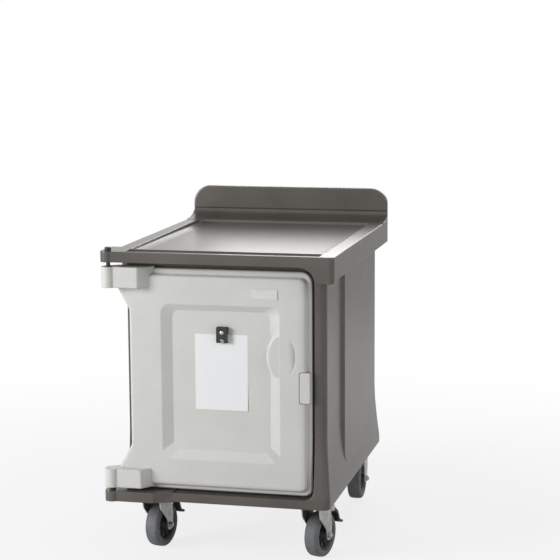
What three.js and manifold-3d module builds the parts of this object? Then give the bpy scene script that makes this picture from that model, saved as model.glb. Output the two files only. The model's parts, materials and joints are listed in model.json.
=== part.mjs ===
// Enclosed meal tray cart: an insulated cabinet on four casters, with a moulded worktop that
// rises into a push panel, and one door hung on two pins outside the cabinet's left front edge.
// Lengths are millimetres. X runs to the cart's right, Y to its back and Z up; until the last
// lines, the origin is on the floor, under the middle of the cabinet's front face.
import * as THREE from 'three';
import { mergeVertices } from 'three/addons/utils/BufferGeometryUtils.js';
import ManifoldModule from 'manifold-3d';

// ---------------------------------------------------------------- driving dimensions
// Fits
const SEAT = 0.3; // space left between two pieces that rest on each other
const RUN = 0.3; // space left round a pin or a shaft
const WELD = 1e-4; // vertices closer than this are one vertex

// Cabinet
const CABINET_WIDTH = 670;
const CABINET_DEPTH = 910;
const CABINET_HEIGHT = 787.7;
const SIDE_WALL = 68;
const BACK_WALL = 55;
const FLOOR_THICKNESS = 60;
const ROOF_THICKNESS = 35;
const FRONT_CORNER = 22;
const BACK_CORNER = 32;
const CAVITY_CORNER = 24;

// Flared base of the cabinet, which fends the cart off walls and carries the casters
const BASE_RAIL = 31; // height of the upright band at the foot of the flare
const FLARE_RISE = 196; // height over which the flare dies out
const FLARE_SIDE = 15;
const FLARE_FRONT = 28;
const FLARE_BACK = 19;
const FLARE_CURVE = 1.5; // 1 is a straight flare, more is a hollow one
const BASE_EDGE = 6;

// Raised panel pressed out of each side wall
const PANEL_MARGIN = 245; // from the cabinet's front to the panel
const PANEL_MARGIN_BACK = 225;
const PANEL_PROUD = 10;
const PANEL_DRAFT = 13;
const PANEL_FOOT = 60; // above the underside of the cabinet
const PANEL_CORNER = 70;

// Door seat, cut into the cabinet's front face
const SEAT_DEPTH = 22;
const FRAME_POST = 38; // width of the frame left at the right of the door
const DOOR_GAP = 8.5; // between the door's rim and the frame round it

// Door
const RIM_FRONT = -3; // Y of the rim's front face
const DOOR_DROP = 13.2; // from the top of the cabinet to the top of the door
const DOOR_INSET = 15; // from the cabinet's left side to the door's left edge
const DOOR_WING = 42; // how far the edge sweeps out to each hinge arm
const WING_TAPER = 17;
const WING_RISE = 76; // from each hinge arm to where its wing has died out
const DOOR_CORNER_TOP = 32;
const DOOR_CORNER_BOTTOM = 24;
const RIM_WIDTH = 14; // from the door's edge to the foot of its main panel
const RIM_WIDTH_TOP = 18;
const RIM_EDGE = 4; // chamfer round the rim's front
const PANEL_STEP = 17; // how far the door's face stands out from its rim
const PANEL_LEDGE = 1; // flat left in front of the rim, along the left edge
const PANEL_ROUND = 25; // width of the rounded step up to the face, along the right edge
const PANEL_ROUND_TOP = 16; // the same along the top and the foot
const PANEL_ROUND_LEFT = 12;
const PANEL_FACE_CORNER = 20;
const PLUG_DEPTH = 20; // the part of the door that goes into the opening
const PLUG_GAP = 5;
const GASKET_WIDTH = 14;
const GASKET_THICKNESS = 7.4;

// Dished field in the door's face, which holds the menu card
const FIELD_MARGIN_LEFT = 110; // from the door's edges to the outer edges of the field
const FIELD_MARGIN_RIGHT = 101.5;
const FIELD_MARGIN_TOP = 113.8;
const FIELD_MARGIN_BOTTOM = 105.2;
const FIELD_SLOPE_SIDE = 35;
const FIELD_SLOPE_TOP = 21;
const FIELD_SLOPE_BOTTOM = 32;
const FIELD_DEPTH = 15;
const FIELD_CORNER = 30;

// Oval grip across the right edge of the field: a pad with a hollow for the thumb
const GRIP_OFFSET = 3; // from the field's right edge to the middle of the grip
const GRIP_RISE = 459.2; // above the foot of the door
const GRIP_WIDTH = 97;
const GRIP_HEIGHT = 152;
const GRIP_SLOPE = 11; // width of the pad's rounded edge
const GRIP_SHY = 0.6; // the pad's top lies this far behind the door's face
const THUMB_WIDTH = 22;
const THUMB_DEPTH = 8;

// Hinge
const HINGE_OFFSET = 8; // from the worktop's side to the hinge axis
const HINGE_SETBACK = 21; // from the worktop's front to the hinge axis
const HINGE_PIN_RADIUS = 6.5;
const HINGE_HEAD_RADIUS = 11;
const HINGE_HEAD_HEIGHT = 12;
const BUSH_WALL = 2;
const COLLAR_RADIUS = 10.5;
const LUG_RADIUS = 25;
const ARM_RADIUS = 24;
const ARM_REACH = 15; // from the hinge axis to the front of each arm
const ARM_BACK = 8;
const ARM_LENGTH = 102; // from the hinge axis to the front edge of the arm's slope
const ARM_SLOPE = 42;
const UPPER_ARM_HEIGHT = 68;
const LOWER_ARM_HEIGHT = 62;
const ARM_DROP = 16; // from the upper lug to the upper arm
const ARM_LIFT = 12.6; // from the lower lug to the lower arm
const LOWER_LUG_HEIGHT = 34;
const LOWER_LUG_PROUD = 27; // in front of the base
const LOWER_LUG_LENGTH = 99; // from the cabinet's left side
const LOWER_LUG_TAPER = 60;
const LOWER_LUG_ROOT = 75; // Y of the lug's back edge, inside the cabinet
const LOWER_LUG_SHOULDER = 51; // from the hinge axis back to where the lug's outer side turns in
const PIN_ENGAGEMENT = 55; // how deep each pin goes into its arm
const PIN_BASE = 8; // plastic left under the lower pin

// Worktop with its push panel
const WORKTOP_RISE = 44; // above the top of the cabinet
const WORKTOP_OVERHANG = 36;
const WORKTOP_PROUD = 58; // in front of the cabinet
const WORKTOP_TAIL = 62; // behind the cabinet
const SKIRT_HEIGHT = 78;
const SKIRT_WALL = 22;
const APRON_HEIGHT = 35;
const BLOCK_HEIGHT = 85;
const BLOCK_WIDTH = 61;
const BLOCK_ARC = 52; // hollow curve between the apron and the corner block
const WORKTOP_CORNER = 18;
const WORKTOP_BACK_CORNER = 30;
const WORKTOP_EDGE = 5;
const LUG_BACK = 62;
const LUG_ROOT = 40; // how far the upper lug reaches into the worktop
const SKIRT_START = 82; // the left skirt starts behind the swing of the upper hinge arm
const DECK_SIDE = 49; // from the worktop's edges to the deck
const DECK_SETBACK = 78;
const DECK_TAIL = 124;
const DECK_DEPTH = 14;
const DECK_FALL = 5; // height of the slope round the deck's foot
const DECK_SLOPE = 45;
const DECK_WALL_SLOPE = 3;
const DECK_CORNER = 22;
const SHELF_SETBACK = 14; // from the worktop's front to the low shelf in front of the deck
const SHELF_DROP = 6;
const DAM_WIDTH = 8; // ridge left between the shelf and the deck
const PUSH_HEIGHT = 117; // above the worktop
const PUSH_THICKNESS = 30;
const PUSH_CORNER = 66;
const PUSH_EDGE = 8; // rounding of the panel's front and of its top
const PUSH_CREASE_RISE = 32; // from the worktop to the foot of the panel's flat face
const PUSH_OVERHANG = 7;
const DRAIN_WIDTH = 12;
const DRAIN_DEPTH = 4;
const DRAIN_SETBACK = 6; // from the back of the deck

// Tray racks inside the cabinet
const TRAY_LEVELS = 5;
const TOP_BAY = 117; // from the highest ledge to the compartment's roof
const LEDGE_RISE = 55.7; // from the compartment's floor to the first ledge
const LEDGE_WIDTH = 28;
const LEDGE_THICKNESS = 7;
const LEDGE_EDGE_THICKNESS = 4.2;
const LEDGE_ROOT_THICKNESS = 11.2;
const RACK_WALL = 6;
const RACK_FRONT = 84;
const RACK_SETBACK = 17; // from the compartment's back wall
const RACK_LIFT = 25.7; // from the compartment's floor
const RACK_DROP = 25; // from the compartment's roof
const RACK_CORNER = 12;
const STOP_HEIGHT = 9;
const STOP_LENGTH = 7;
const RACK_WINDOWS = 4; // between each two ledges
const WINDOW_WIDTH = 112;
const WINDOW_HEIGHT = 84;
const WINDOW_CORNER = 16;

// Latch
const LATCH_INSET = 1.5; // from the door's right edge to the paddle
const LATCH_WIDTH = 35.5;
const LATCH_HEIGHT = 102;
const LATCH_RISE = 309.2; // from the foot of the door
const LATCH_PIVOT = [6.5, 3]; // from the paddle's left edge, and in front of the rim
const LATCH_PLATE = 8;
const LATCH_EDGE = 4; // rounding of the paddle's front
const LATCH_CORNER = 6;
const LATCH_STAND = 0.5; // from the barrel to the back of the paddle
const LATCH_BARREL = 5.5;
const LATCH_PIN_RADIUS = 2.5;
const LATCH_SEAM = 1; // round the paddle
const LATCH_GAP = 2.5; // round its barrel and its hook
const LATCH_SWING = 4; // from the pivot to the floor of the pocket behind the paddle
const LATCH_PIN_END = 8; // how far the pin goes into the door at each end
const HOOK_HEIGHT = 30;
const HOOK_OFFSET = 10; // from the pivot to the hook's left side
const HOOK_WIDTH = 8;
const HOOK_CATCH = 0.4; // between the closed hook and the strike's lip
const HOOK_SWING = 22; // room for the hook beside its pivot, inside the door
const STRIKE_THICKNESS = 3;
const STRIKE_HEIGHT = 48;
const STRIKE_LIP = 9;
const STRIKE_LENGTH = 28;
const STRIKE_SCREW_RADIUS = 2.2;
const SPRING_WIRE = 1.2;
const SPRING_TURNS = 5;
const SPRING_PITCH = 3.6;
const SPRING_SEAT = 8; // from the foot of the paddle to the spring

// Menu holder and name plate
const CARD_WIDTH = 176;
const CARD_HEIGHT = 250;
const CARD_OFFSET = 0.5; // from the middle of the field
const CARD_DROP = 97; // from the top of the field
const CARD_THICKNESS = 0.8;
const CLIP_OFFSET = 6; // from the middle of the card
const CLIP_RISE = 27; // above the card
const CLIP_WIDTH = 38;
const CLIP_HEIGHT = 53;
const CLIP_PLATE = 2.5;
const CLIP_PIVOT = 19; // below the top of the clip
const CLIP_STAND = 7; // from the field to the clip's pivot
const CLIP_NOSE = 4; // radius of the ears round the pin
const CLIP_EAR = 4;
const CLIP_TOE = 5;
const CLIP_NOTCH = [6.5, 12]; // half width and height of the notch between the toes
const CLIP_LIFT_ROOM = 0.6; // between the ears and the lever
const CLIP_PIN_RADIUS = 1.5;
const RIVET_RADIUS = 6.5;
const RIVET_SHANK = 2.5;
const NAME_MARGIN = 151.5; // from the door's right edge to the middle of the plate
const NAME_DROP = 73.3; // from the top of the door
const NAME_WIDTH = 88;
const NAME_HEIGHT = 33;
const NAME_THICKNESS = 1.6;

// Casters
const WHEEL_RADIUS = 76;
const TYRE_WIDTH = 50;
const CASTER_HEIGHT = 202;
const CASTER_INSET = 60; // from the cabinet's side to the middle of each caster
const FRONT_CASTER_Y = 100;
const BACK_CASTER_INSET = 61;
const PLATE_WIDTH = 102;
const PLATE_LENGTH = 114;
const PLATE_THICKNESS = 6;
const PLATE_CORNER = 9;
const STUD_X = 41; // from the middle of the plate to each stud
const STUD_Y = 46;
const STUD_RADIUS = 4;
const STUD_GAP = 0.5;
const STUD_TAIL = 1.5; // below the nut
const NUT_RADIUS = 7.5;
const NUT_HEIGHT = 6.5;
const INSERT_DEPTH = 16; // from the cabinet's underside to the steel plate moulded into it
const INSERT_THICKNESS = 5;
const INSERT_MARGIN = 8; // from each stud to the plate's edge
const RACE_RADIUS = 33;
const RACE_HEIGHT = 8;
const TRAIL = 38;
const FORK_HALF_WIDTH = 35;
const FORK_PLATE = 4;
const CROWN_FRONT = -34; // Y of the crown's ends
const CROWN_BACK = 46;
const CROWN_THICKNESS = 9.5;
const CROWN_STEP = 3; // from the crown's round seat down to its plate
const LEG_CURL = [-26, 34]; // Y of the leg's front below the crown, and how far below it
const AXLE_RADIUS = 6;
const AXLE_BOSS = 16;
const AXLE_NUT = 7;
const AXLE_NUT_RADIUS = 10;
const AXLE_TAIL = 3;
const BRACKET_HALF = 35;
const BRACKET_SHOULDER = 22; // depth of the fixed bracket's upright part
const HUB_RADIUS = 20;
const WEB_HALF = 6;
const WHEEL_SIDES = 24;
const TYRE_BEAD = 53;
const HEADING_LEFT = 12; // degrees that each front caster stands turned in the photograph
const HEADING_RIGHT = 15;
const KINGPIN_RADIUS = 6;
const KINGPIN_HEAD = 11;
const KINGPIN_HEAD_HEIGHT = 5;
const KINGPIN_SHY = 2; // below the top of the plate
const PEDAL_PIVOT_Y = 68;
const PEDAL_PIVOT_Z = 159;
const PEDAL_LEFT = 5;
const PEDAL_WIDTH = 25;
const PEDAL_PIN_RADIUS = 3;
const PEDAL_EAR_GAP = 0.5;

// ---------------------------------------------------------------- worked-out places
const HALF_WIDTH = CABINET_WIDTH / 2;
const CABINET_FOOT = CASTER_HEIGHT + SEAT;
const CABINET_TOP = CABINET_FOOT + CABINET_HEIGHT;
const BAND_TOP = CABINET_FOOT + BASE_RAIL;
const OPENING_HALF = HALF_WIDTH - SIDE_WALL;
const OPENING_FOOT = CABINET_FOOT + FLOOR_THICKNESS;
const OPENING_TOP = CABINET_TOP - ROOF_THICKNESS;
const CAVITY_BACK = CABINET_DEPTH - BACK_WALL;
const FRAME_INNER = HALF_WIDTH - FRAME_POST;
const DOOR_LEFT = -HALF_WIDTH + DOOR_INSET; // left edge, between the hinge arms
const DOOR_RIGHT = FRAME_INNER - DOOR_GAP;
const DOOR_FOOT = BAND_TOP + DOOR_GAP;
const DOOR_TOP = CABINET_TOP - DOOR_DROP;
const DOOR_BACK = SEAT_DEPTH - 2 * SEAT - GASKET_THICKNESS;
const DOOR_FACE = RIM_FRONT - PANEL_STEP;
const DOOR_INSIDE = DOOR_BACK + PLUG_DEPTH; // Y of the plug's inner face
const FIELD_LEFT = DOOR_LEFT + FIELD_MARGIN_LEFT;
const FIELD_RIGHT = DOOR_RIGHT - FIELD_MARGIN_RIGHT;
const FIELD_TOP = DOOR_TOP - FIELD_MARGIN_TOP;
const FIELD_BOTTOM = DOOR_FOOT + FIELD_MARGIN_BOTTOM;
const FIELD_FACE = DOOR_FACE + FIELD_DEPTH;
const GRIP_X = FIELD_RIGHT + GRIP_OFFSET;
const GRIP_Z = DOOR_FOOT + GRIP_RISE;
const WORKTOP_TOP = CABINET_TOP + WORKTOP_RISE;
const WORKTOP_UNDERSIDE = CABINET_TOP + SEAT;
const WORKTOP_HALF = HALF_WIDTH + WORKTOP_OVERHANG;
const WORKTOP_FRONT = -WORKTOP_PROUD;
const WORKTOP_BACK = CABINET_DEPTH + WORKTOP_TAIL;
const SKIRT_FOOT = WORKTOP_TOP - SKIRT_HEIGHT;
const APRON_FOOT = WORKTOP_TOP - APRON_HEIGHT;
const BLOCK_FOOT = WORKTOP_TOP - BLOCK_HEIGHT;
const BLOCK_LEFT = WORKTOP_HALF - BLOCK_WIDTH;
const DECK_HALF_WIDTH = WORKTOP_HALF - DECK_SIDE;
const DECK_FRONT = WORKTOP_FRONT + DECK_SETBACK;
const DECK_BACK = WORKTOP_BACK - DECK_TAIL;
const PUSH_FACE = WORKTOP_BACK - PUSH_THICKNESS;
const PUSH_TOP = WORKTOP_TOP + PUSH_HEIGHT;
const PUSH_CREASE = WORKTOP_TOP + PUSH_CREASE_RISE;
const HINGE_X = -WORKTOP_HALF - HINGE_OFFSET;
const HINGE_Y = WORKTOP_FRONT + HINGE_SETBACK;
const LOWER_LUG_TOP = CABINET_FOOT + LOWER_LUG_HEIGHT;
const LOWER_ARM_FOOT = LOWER_LUG_TOP + ARM_LIFT;
const LOWER_ARM_TOP = LOWER_ARM_FOOT + LOWER_ARM_HEIGHT;
const UPPER_ARM_TOP = APRON_FOOT - ARM_DROP;
const UPPER_ARM_FOOT = UPPER_ARM_TOP - UPPER_ARM_HEIGHT;
const LOWER_PIN_FOOT = CABINET_FOOT + PIN_BASE;
const TRAY_PITCH = (OPENING_TOP - TOP_BAY - OPENING_FOOT - LEDGE_RISE) / (TRAY_LEVELS - 1);
const LEDGES = Array.from(
  { length: TRAY_LEVELS },
  (_, level) => OPENING_FOOT + LEDGE_RISE + level * TRAY_PITCH,
);
const RACK_BACK = CAVITY_BACK - RACK_SETBACK;
const RACK_FACE = OPENING_HALF - SEAT - RACK_WALL;
const RACK_FOOT = OPENING_FOOT + RACK_LIFT;
const RACK_TOP = OPENING_TOP - RACK_DROP;
const LATCH_RIGHT = DOOR_RIGHT - LATCH_INSET;
const LATCH_LEFT = LATCH_RIGHT - LATCH_WIDTH;
const LATCH_FOOT = DOOR_FOOT + LATCH_RISE;
const LATCH_TOP = LATCH_FOOT + LATCH_HEIGHT;
const LATCH_PIVOT_X = LATCH_LEFT + LATCH_PIVOT[0];
const LATCH_PIVOT_Y = RIM_FRONT - LATCH_PIVOT[1];
const HOOK_LEFT = LATCH_PIVOT_X - HOOK_OFFSET;
const HOOK_FOOT = LATCH_FOOT + LATCH_HEIGHT / 2 - HOOK_HEIGHT / 2;
const STRIKE_LIP_FRONT = DOOR_INSIDE + 2;
const STRIKE_X = OPENING_HALF - SEAT - STRIKE_THICKNESS;
const STRIKE_EDGE = STRIKE_X + STRIKE_THICKNESS - STRIKE_LIP;
const CARD_X = (FIELD_LEFT + FIELD_RIGHT) / 2 + CARD_OFFSET;
const CARD_TOP = FIELD_TOP - CARD_DROP;
const CARD_FACE = FIELD_FACE - SEAT - CARD_THICKNESS;
const CLIP_X = CARD_X + CLIP_OFFSET;
const CLIP_TOP = CARD_TOP + CLIP_RISE;
const CLIP_HALF = CLIP_WIDTH / 2;
const CLIP_PIVOT_Y = FIELD_FACE - CLIP_STAND;
const CLIP_PIVOT_Z = CLIP_TOP - CLIP_PIVOT;
const LEVER_BACK = CLIP_PIVOT_Y - CLIP_NOSE - CLIP_LIFT_ROOM;
const NAME_X = DOOR_RIGHT - NAME_MARGIN;
const NAME_Z = DOOR_TOP - NAME_DROP;
const CASTER_X = HALF_WIDTH - CASTER_INSET;
const BACK_CASTER_Y = CABINET_DEPTH - BACK_CASTER_INSET;
const PLATE_TOP = CASTER_HEIGHT;
const PLATE_FOOT = PLATE_TOP - PLATE_THICKNESS;
const RACE_FOOT = PLATE_FOOT - RACE_HEIGHT;
const CROWN_TOP = RACE_FOOT - SEAT;
const CROWN_FOOT = CROWN_TOP - CROWN_THICKNESS;
const FORK_INNER = FORK_HALF_WIDTH - FORK_PLATE;
const INSERT_HALF = [STUD_X + INSERT_MARGIN, STUD_Y + INSERT_MARGIN];
const STUDS = [[-1, -1], [1, -1], [1, 1], [-1, 1]].map(([sx, sy]) => [sx * STUD_X, sy * STUD_Y]);
const CASTERS = [
  { place: 'front_left', x: -CASTER_X, y: FRONT_CASTER_Y, heading: HEADING_LEFT },
  { place: 'front_right', x: CASTER_X, y: FRONT_CASTER_Y, heading: HEADING_RIGHT },
  { place: 'rear_left', x: -CASTER_X, y: BACK_CASTER_Y },
  { place: 'rear_right', x: CASTER_X, y: BACK_CASTER_Y },
];

// ---------------------------------------------------------------- geometry helpers
const wasm = await ManifoldModule();
wasm.setup();

/** Turns a three.js geometry into a closed solid for boolean work. */
function solid(geometry) {
  const bare = new THREE.BufferGeometry();
  bare.setAttribute('position', geometry.getAttribute('position'));
  if (geometry.index) bare.setIndex(geometry.index);
  const welded = mergeVertices(bare, WELD);
  const triangles = new Uint32Array(welded.index.array);
  if (signedVolume(welded) < 0) triangles.reverse();
  const mesh = new wasm.Mesh({
    numProp: 3,
    vertProperties: new Float32Array(welded.getAttribute('position').array),
    triVerts: triangles,
  });
  return new wasm.Manifold(mesh);
}

/** Volume of an indexed geometry, negative where its faces point in. */
function signedVolume(geometry) {
  const position = geometry.getAttribute('position');
  const [a, b, c] = [new THREE.Vector3(), new THREE.Vector3(), new THREE.Vector3()];
  let volume = 0;
  for (let corner = 0; corner < geometry.index.count; corner += 3) {
    [a, b, c].forEach((point, step) => {
      point.fromBufferAttribute(position, geometry.index.getX(corner + step));
    });
    volume += a.dot(b.cross(c)) / 6;
  }
  return volume;
}

/** Turns a solid back into a three.js geometry with flat normals. */
function geometryOf(body) {
  const mesh = body.getMesh();
  const geometry = new THREE.BufferGeometry();
  geometry.setAttribute('position', new THREE.BufferAttribute(new Float32Array(mesh.vertProperties), 3));
  geometry.setIndex(new THREE.BufferAttribute(new Uint32Array(mesh.triVerts), 1));
  const flat = geometry.toNonIndexed();
  flat.computeVertexNormals();
  return flat;
}

/** Joins any number of geometries or solids into one solid. */
function join(...pieces) {
  return pieces.map(asSolid).reduce((whole, piece) => whole.add(piece));
}

/** Cuts every later piece out of the first. */
function cut(first, ...cutters) {
  return cutters.map(asSolid).reduce((rest, cutter) => rest.subtract(cutter), asSolid(first));
}

function asSolid(piece) {
  return piece.isBufferGeometry ? solid(piece) : piece;
}

/** Outline through corners [x, y, radius], each rounded by an arc of the given steps. */
function outline(corners, steps = 4) {
  const points = [];
  corners.forEach(([x, y, radius = 0], index) => {
    const [px, py] = corners[(index + corners.length - 1) % corners.length];
    const [nx, ny] = corners[(index + 1) % corners.length];
    const here = new THREE.Vector2(x, y);
    if (radius === 0) {
      points.push(here);
      return;
    }
    const back = new THREE.Vector2(px - x, py - y).normalize();
    const on = new THREE.Vector2(nx - x, ny - y).normalize();
    const half = Math.acos(THREE.MathUtils.clamp(back.dot(on), -1, 1)) / 2;
    const reach = radius / Math.tan(half);
    const centre = back.clone().add(on).normalize().multiplyScalar(radius / Math.sin(half)).add(here);
    const start = back.clone().multiplyScalar(reach).add(here).sub(centre);
    const end = on.clone().multiplyScalar(reach).add(here).sub(centre);
    const sweep = Math.atan2(start.cross(end), start.dot(end));
    for (let step = 0; step <= steps; step += 1) {
      points.push(start.clone().rotateAround(new THREE.Vector2(), (sweep * step) / steps).add(centre));
    }
  });
  return points;
}

/** Rectangle between two corners, with one corner radius. */
function rectangle(x0, y0, x1, y1, radius = 0, steps = 4) {
  return outline([[x0, y0, radius], [x1, y0, radius], [x1, y1, radius], [x0, y1, radius]], steps);
}

/** Points of an ellipse. */
function ellipse(x, y, radiusX, radiusY, steps = 16) {
  return Array.from({ length: steps }, (_, step) => {
    const angle = (2 * Math.PI * step) / steps;
    return new THREE.Vector2(x + radiusX * Math.cos(angle), y + radiusY * Math.sin(angle));
  });
}

/** Straight solid on an outline, from height z0 to z1. */
function prism(points, z0, z1, holes = []) {
  const shape = new THREE.Shape(points);
  shape.holes = holes.map((hole) => new THREE.Path(hole));
  const geometry = new THREE.ExtrudeGeometry(shape, { depth: z1 - z0, bevelEnabled: false });
  return geometry.translate(0, 0, z0);
}

/** Solid through outlines of equal length, each [height, points] and in rising order. */
function loft(rising) {
  const turned = THREE.ShapeUtils.isClockWise(rising[0][1]);
  const levels = rising.map(([height, points]) => [height, turned ? points.toReversed() : points]);
  const count = levels[0][1].length;
  const positions = levels.flatMap(([height, points]) => points.flatMap((p) => [p.x, p.y, height]));
  const faces = [];
  for (let level = 0; level + 1 < levels.length; level += 1) {
    for (let side = 0; side < count; side += 1) {
      const a = level * count + side;
      const b = level * count + ((side + 1) % count);
      faces.push(a, b, b + count, a, b + count, a + count);
    }
  }
  const top = (levels.length - 1) * count;
  THREE.ShapeUtils.triangulateShape(levels[0][1], []).forEach(([a, b, c]) => faces.push(c, b, a));
  THREE.ShapeUtils.triangulateShape(levels.at(-1)[1], [])
    .forEach(([a, b, c]) => faces.push(top + a, top + b, top + c));
  const geometry = new THREE.BufferGeometry();
  geometry.setAttribute('position', new THREE.Float32BufferAttribute(positions, 3));
  geometry.setIndex(faces);
  return geometry;
}

/** Stands a solid up: its x and y become X and Z, and its height points to the front, along -Y. */
const facingFront = (geometry) => geometry.rotateX(Math.PI / 2);

/** Turns a solid so that its x and y become Y and Z, and its height points along +X. */
const facingRight = (geometry) => geometry.applyMatrix4(
  new THREE.Matrix4().makeBasis(
    new THREE.Vector3(0, 1, 0),
    new THREE.Vector3(0, 0, 1),
    new THREE.Vector3(1, 0, 0),
  ),
);

/** Mirror image across the cart's middle plane. */
function mirrored(geometry) {
  const flipped = (geometry.index ? geometry.toNonIndexed() : geometry.clone()).scale(-1, 1, 1);
  const position = flipped.getAttribute('position');
  const first = new THREE.Vector3();
  const second = new THREE.Vector3();
  for (let corner = 0; corner < position.count; corner += 3) {
    first.fromBufferAttribute(position, corner);
    second.fromBufferAttribute(position, corner + 1);
    position.setXYZ(corner, second.x, second.y, second.z);
    position.setXYZ(corner + 1, first.x, first.y, first.z);
  }
  flipped.computeVertexNormals();
  return flipped;
}

/** Upright round bar. */
function post(x, y, z0, z1, radius, sides = 16) {
  const geometry = new THREE.CylinderGeometry(radius, radius, z1 - z0, sides);
  return geometry.rotateX(Math.PI / 2).translate(x, y, (z0 + z1) / 2);
}

/** Round bar along X. */
function crossbar(x0, x1, y, z, radius, sides = 16) {
  const geometry = new THREE.CylinderGeometry(radius, radius, x1 - x0, sides);
  return geometry.rotateZ(Math.PI / 2).translate((x0 + x1) / 2, y, z);
}

/** Turned solid about the X axis, from [x, radius] points that start and end on the axis. */
function turnedAboutX(profile, segments) {
  const points = profile.map(([x, radius]) => new THREE.Vector2(radius, x));
  return new THREE.LatheGeometry(points, segments).rotateZ(-Math.PI / 2);
}

/** Coil spring about an upright axis, as one tube; it prints the least gap between its turns. */
function coilSpring(name, radius, wire, pitch, turns) {
  const steps = 8 * turns;
  const route = Array.from({ length: steps + 1 }, (_, step) => {
    const angle = (2 * Math.PI * step) / 8;
    return new THREE.Vector3(radius * Math.cos(angle), radius * Math.sin(angle), (pitch * step) / 8);
  });
  let gap = Infinity;
  route.forEach((here, step) => route.slice(step + 5).forEach((other) => {
    gap = Math.min(gap, here.distanceTo(other) - wire);
  }));
  console.log(`${name}: least gap between turns ${gap.toFixed(2)} mm`);
  return new THREE.ExtrudeGeometry(
    new THREE.Shape(ellipse(0, 0, wire / 2, wire / 2, 5)),
    { steps, extrudePath: new THREE.CatmullRomCurve3(route) },
  );
}

// ---------------------------------------------------------------- finishes
const finish = (color, roughness, metalness = 0) => ({ color, roughness, metalness });
const FINISHES = {
  darkPlastic: finish(0x67625d, 0.48),
  palePlastic: finish(0xc9c9c6, 0.5),
  rackPlastic: finish(0xb9b9b4, 0.55),
  blackPlastic: finish(0x1c1c1d, 0.42),
  gasketRubber: finish(0x2b2c2b, 0.75),
  tyreRubber: finish(0x6f7074, 0.7),
  wheelCore: finish(0x3b3c3f, 0.55),
  zinc: finish(0x9b9b94, 0.38, 0.85),
  steel: finish(0xb4b4b2, 0.3, 0.95),
  blackSteel: finish(0x1d2020, 0.4, 0.6),
  card: finish(0xe8e9ea, 0.85),
  plate: finish(0xd6d6d3, 0.35, 0.4),
};

/** Named mesh with a material of its own. */
function piece(name, finishName, body) {
  const material = new THREE.MeshStandardMaterial({ ...FINISHES[finishName] });
  const mesh = new THREE.Mesh(geometryOf(asSolid(body)), material);
  mesh.name = name;
  return mesh;
}

// ---------------------------------------------------------------- cabinet
/** Share of the full flare at a height above the floor. */
function flareAt(z) {
  const share = THREE.MathUtils.clamp((BAND_TOP + FLARE_RISE - z) / FLARE_RISE, 0, 1);
  return share ** FLARE_CURVE;
}

/** Plan of the cabinet at a height, drawn in by an inset. */
function cabinetPlan(z, inset = 0) {
  const flare = flareAt(z);
  const x = HALF_WIDTH + FLARE_SIDE * flare - inset;
  const front = -FLARE_FRONT * flare + inset;
  const back = CABINET_DEPTH + FLARE_BACK * flare - inset;
  return outline([
    [-x, front, FRONT_CORNER], [x, front, FRONT_CORNER],
    [x, back, BACK_CORNER], [-x, back, BACK_CORNER],
  ]);
}

function cabinetBlock() {
  const flareHeights = [0, 0.14, 0.3, 0.5, 0.74, 1].map((share) => BAND_TOP + share * FLARE_RISE);
  return loft([
    [CABINET_FOOT, cabinetPlan(CABINET_FOOT, BASE_EDGE)],
    [CABINET_FOOT + BASE_EDGE * 0.3, cabinetPlan(CABINET_FOOT, BASE_EDGE * 0.3)],
    [CABINET_FOOT + BASE_EDGE, cabinetPlan(CABINET_FOOT)],
    ...flareHeights.map((z) => [z, cabinetPlan(z)]),
    [CABINET_TOP, cabinetPlan(CABINET_TOP)],
  ]);
}

/** Panel pressed out of the right-hand wall. */
function raisedPanel() {
  const frame = (inset) => {
    const y0 = PANEL_MARGIN + inset;
    const y1 = CABINET_DEPTH - PANEL_MARGIN_BACK - inset;
    const z0 = CABINET_FOOT + PANEL_FOOT + inset;
    const z1 = CABINET_TOP - SEAT;
    return outline([[y0, z0, PANEL_CORNER], [y1, z0, PANEL_CORNER], [y1, z1], [y0, z1]], 6);
  };
  return facingRight(loft([
    [HALF_WIDTH - PANEL_PROUD, frame(-PANEL_DRAFT)],
    [HALF_WIDTH + PANEL_PROUD, frame(PANEL_DRAFT)],
  ]));
}

/** Shelf that carries the lower hinge pin, reaching out of the base at the left. */
function lowerLug() {
  const front = -FLARE_FRONT - LOWER_LUG_PROUD;
  const right = -HALF_WIDTH + LOWER_LUG_LENGTH;
  const shelf = outline([
    [HINGE_X, front],
    [right, front, 6],
    [right + LOWER_LUG_TAPER, -FLARE_FRONT],
    [right + LOWER_LUG_TAPER, LOWER_LUG_ROOT],
    [-HALF_WIDTH + 10, LOWER_LUG_ROOT],
    [HINGE_X - LUG_RADIUS, HINGE_Y + LOWER_LUG_SHOULDER, 16],
    [HINGE_X - LUG_RADIUS, HINGE_Y],
  ]);
  return join(
    prism(shelf, CABINET_FOOT, LOWER_LUG_TOP),
    post(HINGE_X, HINGE_Y, CABINET_FOOT, LOWER_LUG_TOP, LUG_RADIUS, 28),
  );
}

/** Seat for the door: open at the left and at the top, framed at the right and below. */
function doorSeat() {
  const far = HALF_WIDTH + 200;
  const corner = DOOR_CORNER_BOTTOM + DOOR_GAP;
  const shape = outline([
    [-far, BAND_TOP], [FRAME_INNER, BAND_TOP, corner],
    [FRAME_INNER, CABINET_TOP + 50], [-far, CABINET_TOP + 50],
  ], 6);
  return facingFront(prism(shape, -SEAT_DEPTH, FLARE_FRONT + 50));
}

/** Tray compartment, with rounded inside corners. */
function cavity() {
  const frame = (inset, corner) => rectangle(
    -OPENING_HALF + inset, OPENING_FOOT + inset, OPENING_HALF - inset, OPENING_TOP - inset, corner,
  );
  return facingFront(loft([
    [-CAVITY_BACK, frame(14, CAVITY_CORNER - 8)],
    [-CAVITY_BACK + 4, frame(4, CAVITY_CORNER - 3)],
    [-CAVITY_BACK + 14, frame(0, CAVITY_CORNER)],
    [-SEAT_DEPTH + 10, frame(0, CAVITY_CORNER)],
  ]));
}

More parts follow.
